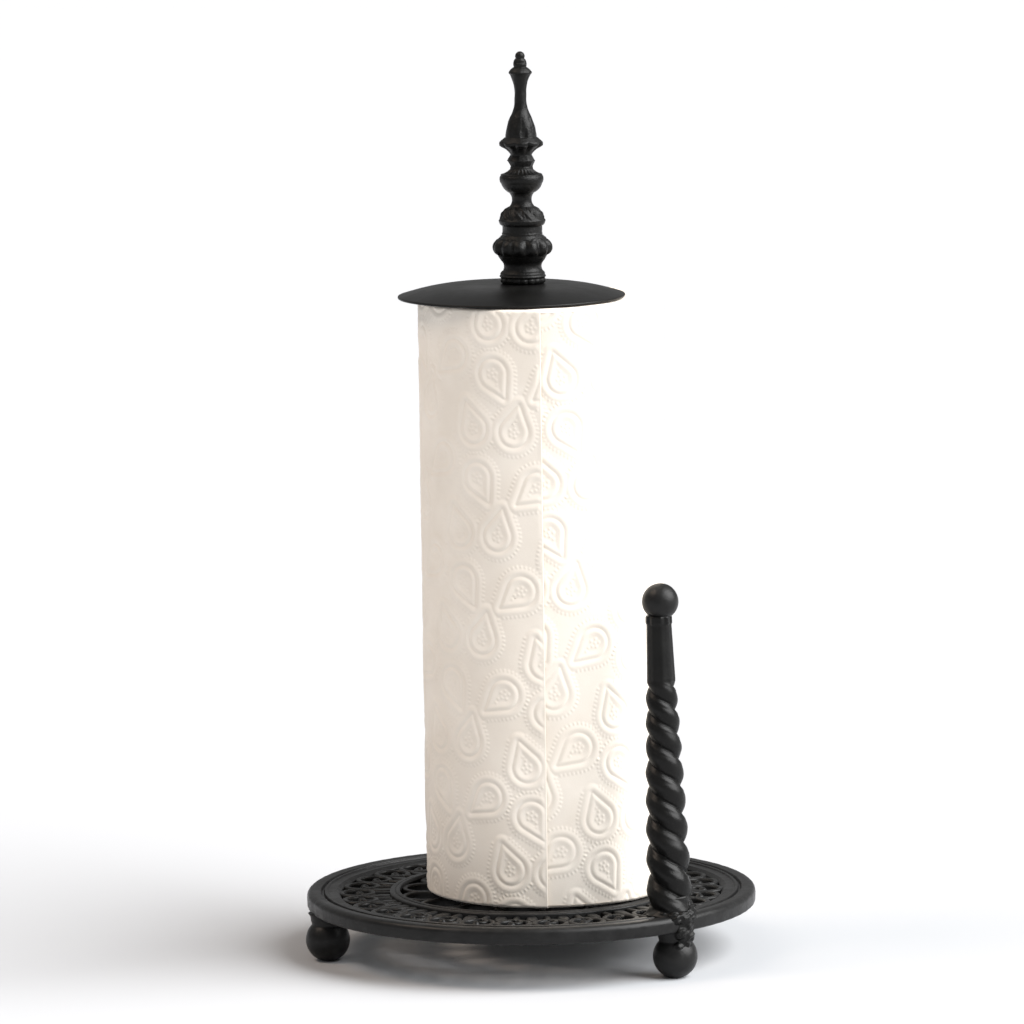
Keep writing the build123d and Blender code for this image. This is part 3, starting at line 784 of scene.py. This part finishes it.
bpy.ops.object.modifier_apply(modifier="soften")
lump_points = points_of(arm_lumps)
x, y, z = (lump_points * 1.5).T
rough = np.sin(x + 1.4 * np.sin(y)) + np.sin(1.3 * y + 1.1 * np.sin(1.2 * z))
rough += np.sin(1.7 * z - 0.8 * x)
middle = np.array([67.0, -73.0, 24.0])
outward = lump_points - middle
outward /= np.linalg.norm(outward, axis=1)[:, None]
set_points(arm_lumps, lump_points + outward * (rough * LUMP_ROUGHNESS)[:, None])
bpy.ops.object.shade_smooth()
finish_piece(arm_lumps, "stand", finial_iron, "black_cast_iron", "base_casting")

# %% [markdown]
# The ball at the top of the arm is a plain casting, a little uneven under its paint.

# %% Ball on the arm
BALL_CENTRE = ARM_TOP + 6.31
BALL_RADIUS = 8.47
BALL_SHIFT = 0.7
select_none()
bpy.ops.mesh.primitive_uv_sphere_add(segments=64, ring_count=40, radius=BALL_RADIUS * MM)
arm_ball = bpy.context.object
arm_ball.name = "arm_ball_cast"
uneven(arm_ball, 0.03, 11.0)
ball_points = points_of(arm_ball) + np.array([BALL_SHIFT, BALL_SHIFT, BALL_CENTRE])
set_points(arm_ball, ball_points)
bpy.ops.object.shade_smooth()
move_mesh(arm_ball, arm_frame)
finish_piece(arm_ball, "stand", iron_with_painted_light, "black_cast_iron", "arm_ball")

# %% [markdown]
# The cap is a thin dome of spun steel. Its crown is level, and a curve carries it down to a short
# straight lip that is rounded over. A boss underneath sits over the rod, off the disc's centre.

# %% Domed cap
CAP_EDGE = 310.2
CAP_SEAT = 316.4
CAP_OFF_CENTRE = 5.5
CAP_RADIUS = 53.2
CAP_FLAT = 16.0
CAP_SLOPE = 17.0
CAP_FULLNESS = 0.46
BOSS_RADIUS = 12.0
BOSS_BORE = 4.3
BOSS_LOW = 310.1


def curve_through(a, b, c, d, steps):
    """Points on a cubic curve with these four control points."""
    points = []
    for index in range(steps + 1):
        t = index / steps
        weights = ((1 - t) ** 3, 3 * t * (1 - t) ** 2, 3 * t * t * (1 - t), t**3)
        pairs = list(zip(weights, (a, b, c, d)))
        points.append((sum(w * p[0] for w, p in pairs), sum(w * p[1] for w, p in pairs)))
    return points


def dome(seat_radius, edge_radius, edge_z, seat_z):
    """The dome's curve from its level crown to its edge."""
    run = edge_radius - seat_radius
    edge_run = 0.34 * run
    slope = math.tan(math.radians(CAP_SLOPE))
    return curve_through(
        (seat_radius, seat_z), (seat_radius + CAP_FULLNESS * run, seat_z),
        (edge_radius - edge_run, edge_z + edge_run * slope), (edge_radius, edge_z), 40,
    )


outer = dome(CAP_FLAT, CAP_RADIUS, CAP_EDGE + 0.9, CAP_SEAT)
inner = dome(CAP_FLAT, CAP_RADIUS - 1.3, CAP_EDGE + 0.1, CAP_SEAT - 1.6)
cap_outline = [(0.0, CAP_SEAT)] + outer[:-1]
cap_outline += [(52.95, CAP_EDGE + 0.98), (53.16, CAP_EDGE + 0.8), (53.2, CAP_EDGE + 0.5)]
cap_outline += [(53.18, CAP_EDGE + 0.15), (53.0, CAP_EDGE - 0.05), (52.6, CAP_EDGE - 0.1)]
cap_outline += [(52.2, CAP_EDGE - 0.05)] + inner[::-1] + [(0.0, CAP_SEAT - 1.6)]
cap_shell = spun("cap_shell", cap_outline, 192)
shell_points = points_of(cap_shell)
shell_points[:, 0] -= CAP_OFF_CENTRE
set_points(cap_shell, shell_points)
boss_top = CAP_SEAT - 1.0
boss_outline = [(BOSS_BORE, boss_top), (BOSS_RADIUS, boss_top), (BOSS_RADIUS, BOSS_LOW + 0.4)]
boss_outline += [(BOSS_RADIUS - 0.4, BOSS_LOW), (BOSS_BORE, BOSS_LOW), (BOSS_BORE, boss_top)]
cap_boss = spun("cap_boss", boss_outline, 96)
cap = joined("cap_dome", [cap_shell, cap_boss])
finish_piece(cap, "cap", cap_steel, "black_painted_steel", "cap_disc")

# %% [markdown]
# The finial is a cast ornament in tiers: a beaded seat ring, a bulb with twelve lobes, a thin
# ring, a dome veined like a leaf, a wide creased bead, a faceted ring, a drooping collar over a
# bell, and a bud with a bead and a tip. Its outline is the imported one, tier by tier, and every
# tier then gets its ornament as a change of radius round it.

# %% Finial outline
TIERS = (
    ("beads", 3.0, 10.3, 0.3),
    ("seat", 3.0, 9.4, 0.7),
    ("neck", 5.1, 10.3, -1.0),
    ("bulb", 11.8, 9.3, 3.6),
    ("drum", 4.2, 9.3, 0.0),
    ("ring", 3.2, 10.5, 0.8),
    ("veins", 5.8, 5.9, 0.9),
    ("waist", 6.5, 5.9, -1.3),
    ("under", 4.3, 9.6, 0.6),
    ("bead", 4.4, 9.4, 0.8),
    ("shoulder", 2.4, 5.4, -0.4),
    ("short", 1.2, 5.2, 0.0),
    ("facet_low", 2.7, 6.4, 0.0),
    ("facet_high", 2.8, 5.0, 0.0),
    ("droop_under", 4.7, 9.8, -0.4),
    ("droop", 3.7, 7.35, 0.3),
    ("bell", 9.4, 4.9, 0.4),
    ("bell_top", 7.5, 2.8, -0.5),
    ("slim", 3.0, 2.75, 0.0),
    ("bud", 10.0, 5.45, -0.8),
    ("bud_top", 2.5, 2.9, 0.3),
    ("nib", 4.1, 2.05, 0.6),
)
ROW_STEP = 0.3
FINIAL_FOOT = 9.8
TIP_RADIUS = 2.25


def tier_rows(start, height, end_radius, bulge):
    """Rows on the arc of one tier: (radius, height above the tier's foot, part of the way up)."""
    begin = Vector((start, 0.0))
    end = Vector((end_radius, height))
    run = end - begin
    outward = Vector((run.y, -run.x)).normalized()
    steps = max(4, int(run.length / ROW_STEP))
    rows = []
    for index in range(steps):
        t = index / steps
        place = begin.lerp(end, t)
        if bulge:
            half = run.length / 2
            reach = (half**2 + bulge**2) / (2 * abs(bulge))
            off = (t - 0.5) * run.length
            rise = math.sqrt(max(reach**2 - off**2, 0.0)) - (reach - abs(bulge))
            place = place + outward * math.copysign(rise, bulge)
        rows.append((place.x, place.y, t))
    return rows


rows = []
foot_z = CAP_SEAT
radius_now = FINIAL_FOOT
for tier, height, end_radius, bulge in TIERS:
    for radius, rise, part in tier_rows(radius_now, height, end_radius, bulge):
        rows.append((tier, radius, foot_z + rise, part))
    foot_z += height
    radius_now = end_radius
tip_rise = math.sqrt(TIP_RADIUS**2 - radius_now**2)
tip_start = math.asin(radius_now / TIP_RADIUS)
for step in range(13):
    turn = tip_start + (math.pi - tip_start) * step / 12
    tip_z = foot_z + tip_rise - TIP_RADIUS * math.cos(turn)
    rows.append(("tip", TIP_RADIUS * math.sin(turn), tip_z, step / 12))
print("finial rows:", len(rows), "top at", round(rows[-1][2], 1))

# %% [markdown]
# Ornament is a list of small rules. Each one looks at the rows of its own tiers and moves the
# skin in or out round the finial: lobes on the bulb, slanting veins, creases, facets, scallops.

# %% Finial ornament
AROUND = 168
tiers = np.array([row[0] for row in rows])
row_radius = np.array([row[1] for row in rows])
row_height = np.array([row[2] for row in rows])
row_part = np.array([row[3] for row in rows])
angles = np.linspace(0.0, math.tau, AROUND + 1)
part_grid, angle_grid = np.meshgrid(row_part, angles, indexing="ij")
skin = np.repeat(row_radius[:, None], AROUND + 1, 1)
level = np.repeat(row_height[:, None], AROUND + 1, 1)


def on(*names):
    """The rows of these tiers, as a column that multiplies a change."""
    return np.isin(tiers, names)[:, None].astype(float)


def lobes(count, sharpness, start=0.0):
    """Round lobes with sharp grooves between them, 1 on a lobe's middle and 0 in a groove."""
    return np.abs(np.sin((angle_grid - start) * count / 2)) ** sharpness


def facets(count, start=0.0):
    """Flat faces round a ring, as a factor on the radius."""
    step = math.tau / count
    inside = (angle_grid - start) % step - step / 2
    return math.cos(step / 2) / np.cos(inside)


swell = np.sin(np.pi * part_grid)
nodules = lobes(18, 0.55, 0.05) * swell**0.5
skin += on("beads") * (nodules * 0.75 - 0.45)
skin += on("seat") * 0.4 * bump_at(part_grid, 0.12, 0.12)
skin -= on("seat") * 0.2 * bump_at(part_grid, 0.36, 0.1)
round_lobe = np.sqrt(np.clip(1 - ((part_grid - 0.50) / 0.31) ** 2, 0.0, 1.0))
bulb_lobes = lobes(12, 0.75, 0.13) * round_lobe
skin += on("bulb") * (bulb_lobes * 2.1 - 1.35 * swell**0.5)
cusp_line = 0.80 + 0.07 * lobes(12, 0.8, 0.13 + math.pi / 12)
skin += on("bulb") * 0.55 * bump_at(part_grid, cusp_line, 0.035)
skin += on("bulb") * 0.35 * bump_at(part_grid, 0.95, 0.03)
skin += on("drum") * 0.3 * bump_at(part_grid, 0.12, 0.09)
skin += on("ring") * 0.25 * bump_at(part_grid, 0.85, 0.12)
slant = (angle_grid * 14 / math.tau + part_grid * 1.25) % 1.0
vein = np.exp(-(((slant - 0.5) / 0.16) ** 2))
side_vein = (part_grid * 3.0 + np.abs(slant - 0.5) * 3.2) % 1.0
leaf_depth = swell**0.4
skin += on("veins") * leaf_depth * (0.62 * vein - 0.25 + 0.14 * np.sin(side_vein * math.tau))
skin += on("bead") * 0.28 * bump_at(part_grid, 0.96, 0.05)
skin -= on("bead") * 0.16 * bump_at(part_grid, 0.86, 0.05)
crease = 1 - lobes(22, 0.55)
skin -= on("shoulder") * crease * 0.75 * swell**0.6
level -= on("shoulder") * crease * 0.35 * swell
low_facets = facets(9)
high_facets = facets(9, math.tau / 18)
meet = on("facet_low") * part_grid + on("facet_high") * (1 - part_grid)
mixed = on("facet_low") * low_facets + on("facet_high") * high_facets
skin = np.where(mixed > 0, skin * (mixed * (1 - 0.35 * meet) + 0.35 * meet) + 0.25 * meet, skin)
scallop = lobes(9, 0.9, 0.2)
skin += on("droop_under") * (scallop - 0.7) * 1.0 * part_grid**1.3
level += on("droop_under") * (0.6 - scallop) * 1.0 * part_grid**1.6
skin += on("droop_under") * 0.5 * bump_at(part_grid, 0.8, 0.2)
skin += on("droop") * (scallop - 0.7) * 1.0 * (1 - part_grid) ** 0.8
level += on("droop") * (0.6 - scallop) * 1.0 * (1 - part_grid) ** 1.2
skin += on("droop") * 0.75 * bump_at(part_grid, 0.3, 0.25)
skin -= on("droop") * 0.35 * bump_at(part_grid, 0.95, 0.1)
skin += on("bell") * (lobes(8, 0.5, 0.1) - 0.8) * 0.25 * swell**0.6
dent_angle = np.abs((angle_grid + math.pi / 2 - 0.2 + math.pi) % math.tau - math.pi)
dent = np.exp(-((dent_angle / 0.20) ** 4)) * np.exp(-((part_grid / 0.34) ** 4))
skin -= on("bell") * dent * 0.9
skin += on("bud") * (lobes(6, 0.5, 0.4) - 0.8) * 0.22 * swell
skin += on("bud") * 0.18 * bump_at(part_grid, 0.95, 0.04)
mouth_angle = np.abs((angle_grid + math.pi / 2 + math.pi) % math.tau - math.pi)
skin -= on("nib") * 0.55 * np.exp(-((mouth_angle / 0.75) ** 4)) * bump_at(part_grid, 0.5, 0.12)
skin -= on("nib") * 0.15 * bump_at(part_grid, 0.95, 0.06)

hand = 0.045 * np.sin(3 * angle_grid + level * 0.7) + 0.03 * np.sin(7 * angle_grid - level * 1.3)
skin = skin + hand * on(*[row[0] for row in TIERS])
skin[:, -1] = skin[:, 0]
level[:, -1] = level[:, 0]
skin[-1] = 0.0
skin = np.vstack([np.zeros((1, AROUND + 1)), skin])
level = np.vstack([np.full((1, AROUND + 1), CAP_SEAT + 0.02), level])
finial = grid_piece("finial_ornament", AROUND + 1, len(level))
finial_points = np.stack([skin * np.cos(angles)[None, :], skin * np.sin(angles)[None, :], level], 2)
set_points(finial, finial_points.reshape(-1, 3))
close_seams(finial)
finish_piece(finial, "finial", finial_iron, "black_cast_iron", "finial")

# %% [markdown]
# The paper is embossed all over with drops in groups of three whose tips meet, and single ones
# between the groups. A drop has a groove for its outline, a smooth ridge and a few dots inside
# it, and a wider smooth ridge round it that ends in a line of dots. Where two drops come close,
# their outer ridges run together. The relief is worked out as one height map of the unrolled
# sheet, so every drop keeps its real size.

# %% Embossing of the sheet
ROLL_RADIUS = 57.0
ROLL_CENTRE = 7.6
ROLL_LOW = 30.2
ROLL_HIGH = 309.6
SHEET_STEP = 0.5
TAIL_TURN = 12.0

columns = int(math.tau * ROLL_RADIUS / SHEET_STEP) + 1
sheet_rows = int((ROLL_HIGH - ROLL_LOW) / SHEET_STEP) + 1
across = np.linspace(0.0, math.tau * ROLL_RADIUS, columns)
down = np.linspace(ROLL_HIGH, ROLL_LOW, sheet_rows)
below_top = ROLL_HIGH - down
DROP_HALF = 7.1
DROP_TIP = 0.5
DROP_REACH = 12.8
BAND = 4.4
DOT_PITCH = 2.0
OUTER_RIDGE = 0.36
INNER_RIDGE = 0.30
GROOVE = 0.24
INNER_DOT = 0.30
BAND_DOT = 0.34
PATTERN_START = (-20.0, 17.4)
STEP_RIGHT = (51.0, 12.0)
STEP_DOWN = (-8.7, 48.6)
DROPS = (
    (0.0, 0.0, 12.0, 1.0),
    (-8.9, -19.5, 152.0, 1.0),
    (15.9, -16.8, 232.0, -1.0),
    (28.4, 11.0, -18.0, -1.0),
)
LEAN = (DROP_HALF - DROP_TIP) / DROP_REACH
RISE = math.sqrt(1 - LEAN * LEAN)


def drop_depth(x, y):
    """Distance from a drop's outline, negative inside; the tip is up at (0, DROP_REACH)."""
    side = np.abs(x)
    along = side * -LEAN + y * RISE
    low = np.hypot(side, y) - DROP_HALF
    high = np.hypot(side, y - DROP_REACH) - DROP_TIP
    flank = side * RISE + y * LEAN - DROP_HALF
    return np.where(along < 0, low, np.where(along > RISE * DROP_REACH, high, flank))


def band_dots():
    """The dots round one drop, on the line where its outer ridge ends."""
    radius = DROP_HALF + BAND
    touch = math.asin(LEAN)
    count = int(radius * (math.pi + 2 * touch) / DOT_PITCH)
    places = []
    for index in range(count + 1):
        turn = touch - (math.pi + 2 * touch) * index / count
        places.append((radius * math.cos(turn), radius * math.sin(turn)))
    start_x, start_y = radius * math.cos(touch), radius * math.sin(touch)
    steps = int(DROP_REACH * RISE / DOT_PITCH)
    for index in range(1, steps + 1):
        go = index * DOT_PITCH
        places.append((start_x - go * LEAN, start_y + go * RISE))
        places.append((-start_x + go * LEAN, start_y + go * RISE))
    return places


INNER_DOTS = (
    (0.4, 1.7), (2.1, 0.3), (-1.8, 0.7), (1.2, -2.0),
    (-1.1, -1.6), (-0.4, 3.6), (0.3, 5.5), (0.2, -0.2),
)


def all_drops():
    """Every drop on the sheet: its place from the sheet's start and top, its turn and its hand."""
    for right in range(-2, 10):
        for below in range(-3, 9):
            for drop_x, drop_y, turn, mirror in DROPS:
                x = PATTERN_START[0] + right * STEP_RIGHT[0] + below * STEP_DOWN[0] + drop_x
                y = PATTERN_START[1] + right * STEP_RIGHT[1] + below * STEP_DOWN[1] + drop_y
                yield x, y, math.radians(turn), mirror


def window(x, y, reach):
    """The part of the sheet near a place, as slices."""
    first_column, last_column = np.searchsorted(across, [x - reach, x + reach])
    first_row, last_row = np.searchsorted(below_top, [y - reach, y + reach])
    return slice(first_row, last_row), slice(first_column, last_column)


depth = np.full((sheet_rows, columns), 99.0)
for x0, y0, turn, mirror in all_drops():
    part = window(x0, y0, 30.0)
    x = across[None, part[1]] - x0
    y = y0 - below_top[part[0], None]
    own_x = (x * math.cos(turn) - y * math.sin(turn)) * mirror
    own_y = x * math.sin(turn) + y * math.cos(turn)
    depth[part] = np.minimum(depth[part], drop_depth(own_x, own_y + 4.0))

relief = OUTER_RIDGE * np.exp(-(((depth - BAND / 2) / 1.6) ** 2))
relief += INNER_RIDGE * np.exp(-(((depth + 1.75) / 1.2) ** 2))
relief -= GROOVE * np.exp(-((depth / 0.5) ** 2))
relief -= 0.08 * np.exp(-(((depth - BAND) / 0.75) ** 2))
relief -= 0.12 * smooth_step(-depth, 3.2, 4.2)


def add_dot(x0, y0, height, width=0.55):
    """One small raised dot on the sheet."""
    part = window(x0, y0, 1.6)
    away = (across[None, part[1]] - x0) ** 2 + (below_top[part[0], None] - y0) ** 2
    relief[part] += height * np.exp(-away / width**2)


dot_line = band_dots()
dot_count = 0
for x0, y0, turn, mirror in all_drops():
    for group, height in ((INNER_DOTS, INNER_DOT), (dot_line, BAND_DOT)):
        for own_x, own_y in group:
            flip = own_x * mirror
            x = x0 + flip * math.cos(turn) + (own_y - 4.0) * math.sin(turn)
            y = y0 - (-flip * math.sin(turn) + (own_y - 4.0) * math.cos(turn))
            column = int(round(x / (across[1] - across[0])))
            row = int(round(y / (below_top[1] - below_top[0])))
            if not (0 <= column < columns and 0 <= row < sheet_rows):
                continue
            if group is dot_line and depth[row, column] < BAND - 0.35:
                continue
            add_dot(x, y, height)
            dot_count += 1

soft = 0.10 * np.sin(across[None, :] / 9.0 + 1.3 * np.sin(down[:, None] / 17.0))
soft = soft + 0.08 * np.sin(down[:, None] / 11.0 + 1.1 * np.sin(across[None, :] / 13.0))
relief = relief + soft
print("sheet of", columns, "by", sheet_rows, "points with", dot_count, "dots")

# %% [markdown]
# The sheet is wound on as the roll's wall. It starts under the loose end, goes once round, and
# its last twelve degrees run straight off the roll, so the free edge stands a little proud. It is
# too fine for one piece, so five panels side by side make up the wall. The last one also has the
# underside of the loose end and the turn below it, so that no gap shows under the edge.

# %% Wall of the roll
START = -90.0
turn_round = np.radians(START) + across / ROLL_RADIUS
tail_start = math.tau - math.radians(TAIL_TURN)
past = np.maximum(across / ROLL_RADIUS - tail_start, 0.0)
wall_radius = ROLL_RADIUS - 0.45 + 0.45 * smooth_step(across, 0.0, 60.0)
wall_radius = wall_radius / np.cos(past)
top_fade = smooth_step(ROLL_HIGH - down, 0.0, 1.6) * smooth_step(down - ROLL_LOW, 0.0, 1.6)
corner = 1.2 * (1 - np.sqrt(np.clip(1 - (1 - np.clip((ROLL_HIGH - down) / 1.2, 0, 1)) ** 2, 0, 1)))
corner += 1.2 * (1 - np.sqrt(np.clip(1 - (1 - np.clip((down - ROLL_LOW) / 1.2, 0, 1)) ** 2, 0, 1)))
tail_fade = smooth_step(across[-1] - across, 0.0, 2.5)
relief = relief * top_fade[:, None] * tail_fade[None, :]
wall = wall_radius[None, :] + relief - 0.25 - corner[:, None]
PANELS = 5
PAPER_THICK = 0.35
TAIL_COLUMNS = slice(1, 29, 3)
BELOW_COLUMNS = 9
panel_edges = np.linspace(0, columns - 1, PANELS + 1).astype(int)
panel_edges[-1] = columns - 1
for number in range(PANELS):
    first, last = panel_edges[number], panel_edges[number + 1]
    part = wall[:, first:last + 1]
    turns = turn_round[first:last + 1]
    if number == PANELS - 1:
        under = part[:, ::-1][:, TAIL_COLUMNS] - PAPER_THICK
        below = np.repeat(wall[:, :1], BELOW_COLUMNS, 1)
        back_turns = turns[::-1][TAIL_COLUMNS]
        below_turns = np.linspace(back_turns[-1], turns[-1] + 0.004, BELOW_COLUMNS)
        part = np.hstack([part, part[:, -1:] - PAPER_THICK, under, below])
        turns = np.concatenate([turns, turns[-1:], back_turns, below_turns])
    panel = grid_piece("paper_wall_" + str(number + 1), part.shape[1], part.shape[0])
    panel_points = np.stack(
        [
            ROLL_CENTRE + part * np.cos(turns)[None, :],
            part * np.sin(turns)[None, :],
            np.repeat(down[:, None], part.shape[1], 1),
        ],
        2,
    )
    set_points(panel, panel_points.reshape(-1, 3))
    panel.data.flip_normals()
    bpy.ops.object.shade_smooth()
    finish_piece(panel, "roll", paper, "embossed_paper", "paper_roll")

# %% [markdown]
# The ends of the roll show the wound plies edge on: fine rings, a little uneven, that run from
# the core out to the rounded edge.

# %% Ends of the roll
for side, height, outward in (("top", ROLL_HIGH, 1.0), ("bottom", ROLL_LOW, -1.0)):
    outline = [(22.0, height - outward * 1.2)]
    for index in range(150):
        radius = 22.05 + (55.9 - 22.05) * index / 149
        ripple = 0.09 * math.sin(index * 2.1) + 0.12 * math.sin(radius * 0.9)
        edge = float(smooth_step(radius, 53.6, 55.2))
        outline.append((radius, height + outward * ((ripple - 0.15) * (1 - edge) + 0.03 * edge)))
    outline.append((56.6, height - outward * 1.2))
    end = spun("paper_end_" + side, outline, 160)
    end_points = points_of(end)
    bearing = np.arctan2(end_points[:, 1], end_points[:, 0])
    end_points[:, 2] += outward * 0.08 * np.sin(5 * bearing + end_points[:, 2])
    end_points[:, 0] += ROLL_CENTRE
    set_points(end, end_points)
    middle_face = end.data.polygons[len(end.data.polygons) // 2]
    if middle_face.normal.z * outward < 0:
        end.data.flip_normals()
    finish_piece(end, "roll", paper, "embossed_paper", "paper_roll")

# %% [markdown]
# The floor is a wide, flat, pale sheet. It isn't part of the object.

# %% Floor
floor_paint, surface, place = new_material("pale_studio_floor")
surface.inputs["Base Color"].default_value = colour("#c1c3c6")
surface.inputs["Roughness"].default_value = 0.85
surface.inputs["Specular IOR Level"].default_value = 0.1
select_none()
bpy.ops.mesh.primitive_plane_add(size=40.0)
floor = bpy.context.object
floor.name = "studio_floor"
floor.data.materials.append(floor_paint)
print("floor ready")

# %% [markdown]
# The light is plain and soft. A wide one from the right and above, a little in front, does most
# of the work. A weak warm one from the left only opens the shade.

# %% Light


def sun(name, bearing, height, softness, power, tint="#ffffff"):
    """A soft light from far away: its bearing and height in degrees, and how wide it is."""
    data = bpy.data.lights.new(name, "SUN")
    data.angle = math.radians(softness)
    data.energy = power
    data.color = colour(tint)[:3]
    light = bpy.data.objects.new(name, data)
    bpy.context.scene.collection.objects.link(light)
    level = math.cos(math.radians(height))
    from_there = Vector((level * math.cos(math.radians(bearing)),
                         level * math.sin(math.radians(bearing)),
                         math.sin(math.radians(height))))
    light.location = from_there * 3.0
    light.rotation_mode = "QUATERNION"
    light.rotation_quaternion = (-from_there).to_track_quat("-Z", "Y")
    return light


sun("key_light", -16.0, 40.0, 60.0, 6.5)
sun("left_fill", -172.0, 56.0, 24.0, 0.95, "#ffe9d6")

world = bpy.data.worlds.new("studio")
world.use_nodes = True
world.node_tree.nodes["Background"].inputs["Color"].default_value = colour("#ffffff")
world.node_tree.nodes["Background"].inputs["Strength"].default_value = 0.34
bpy.context.scene.world = world
bpy.context.scene.view_settings.view_transform = "Standard"
print("lights ready")
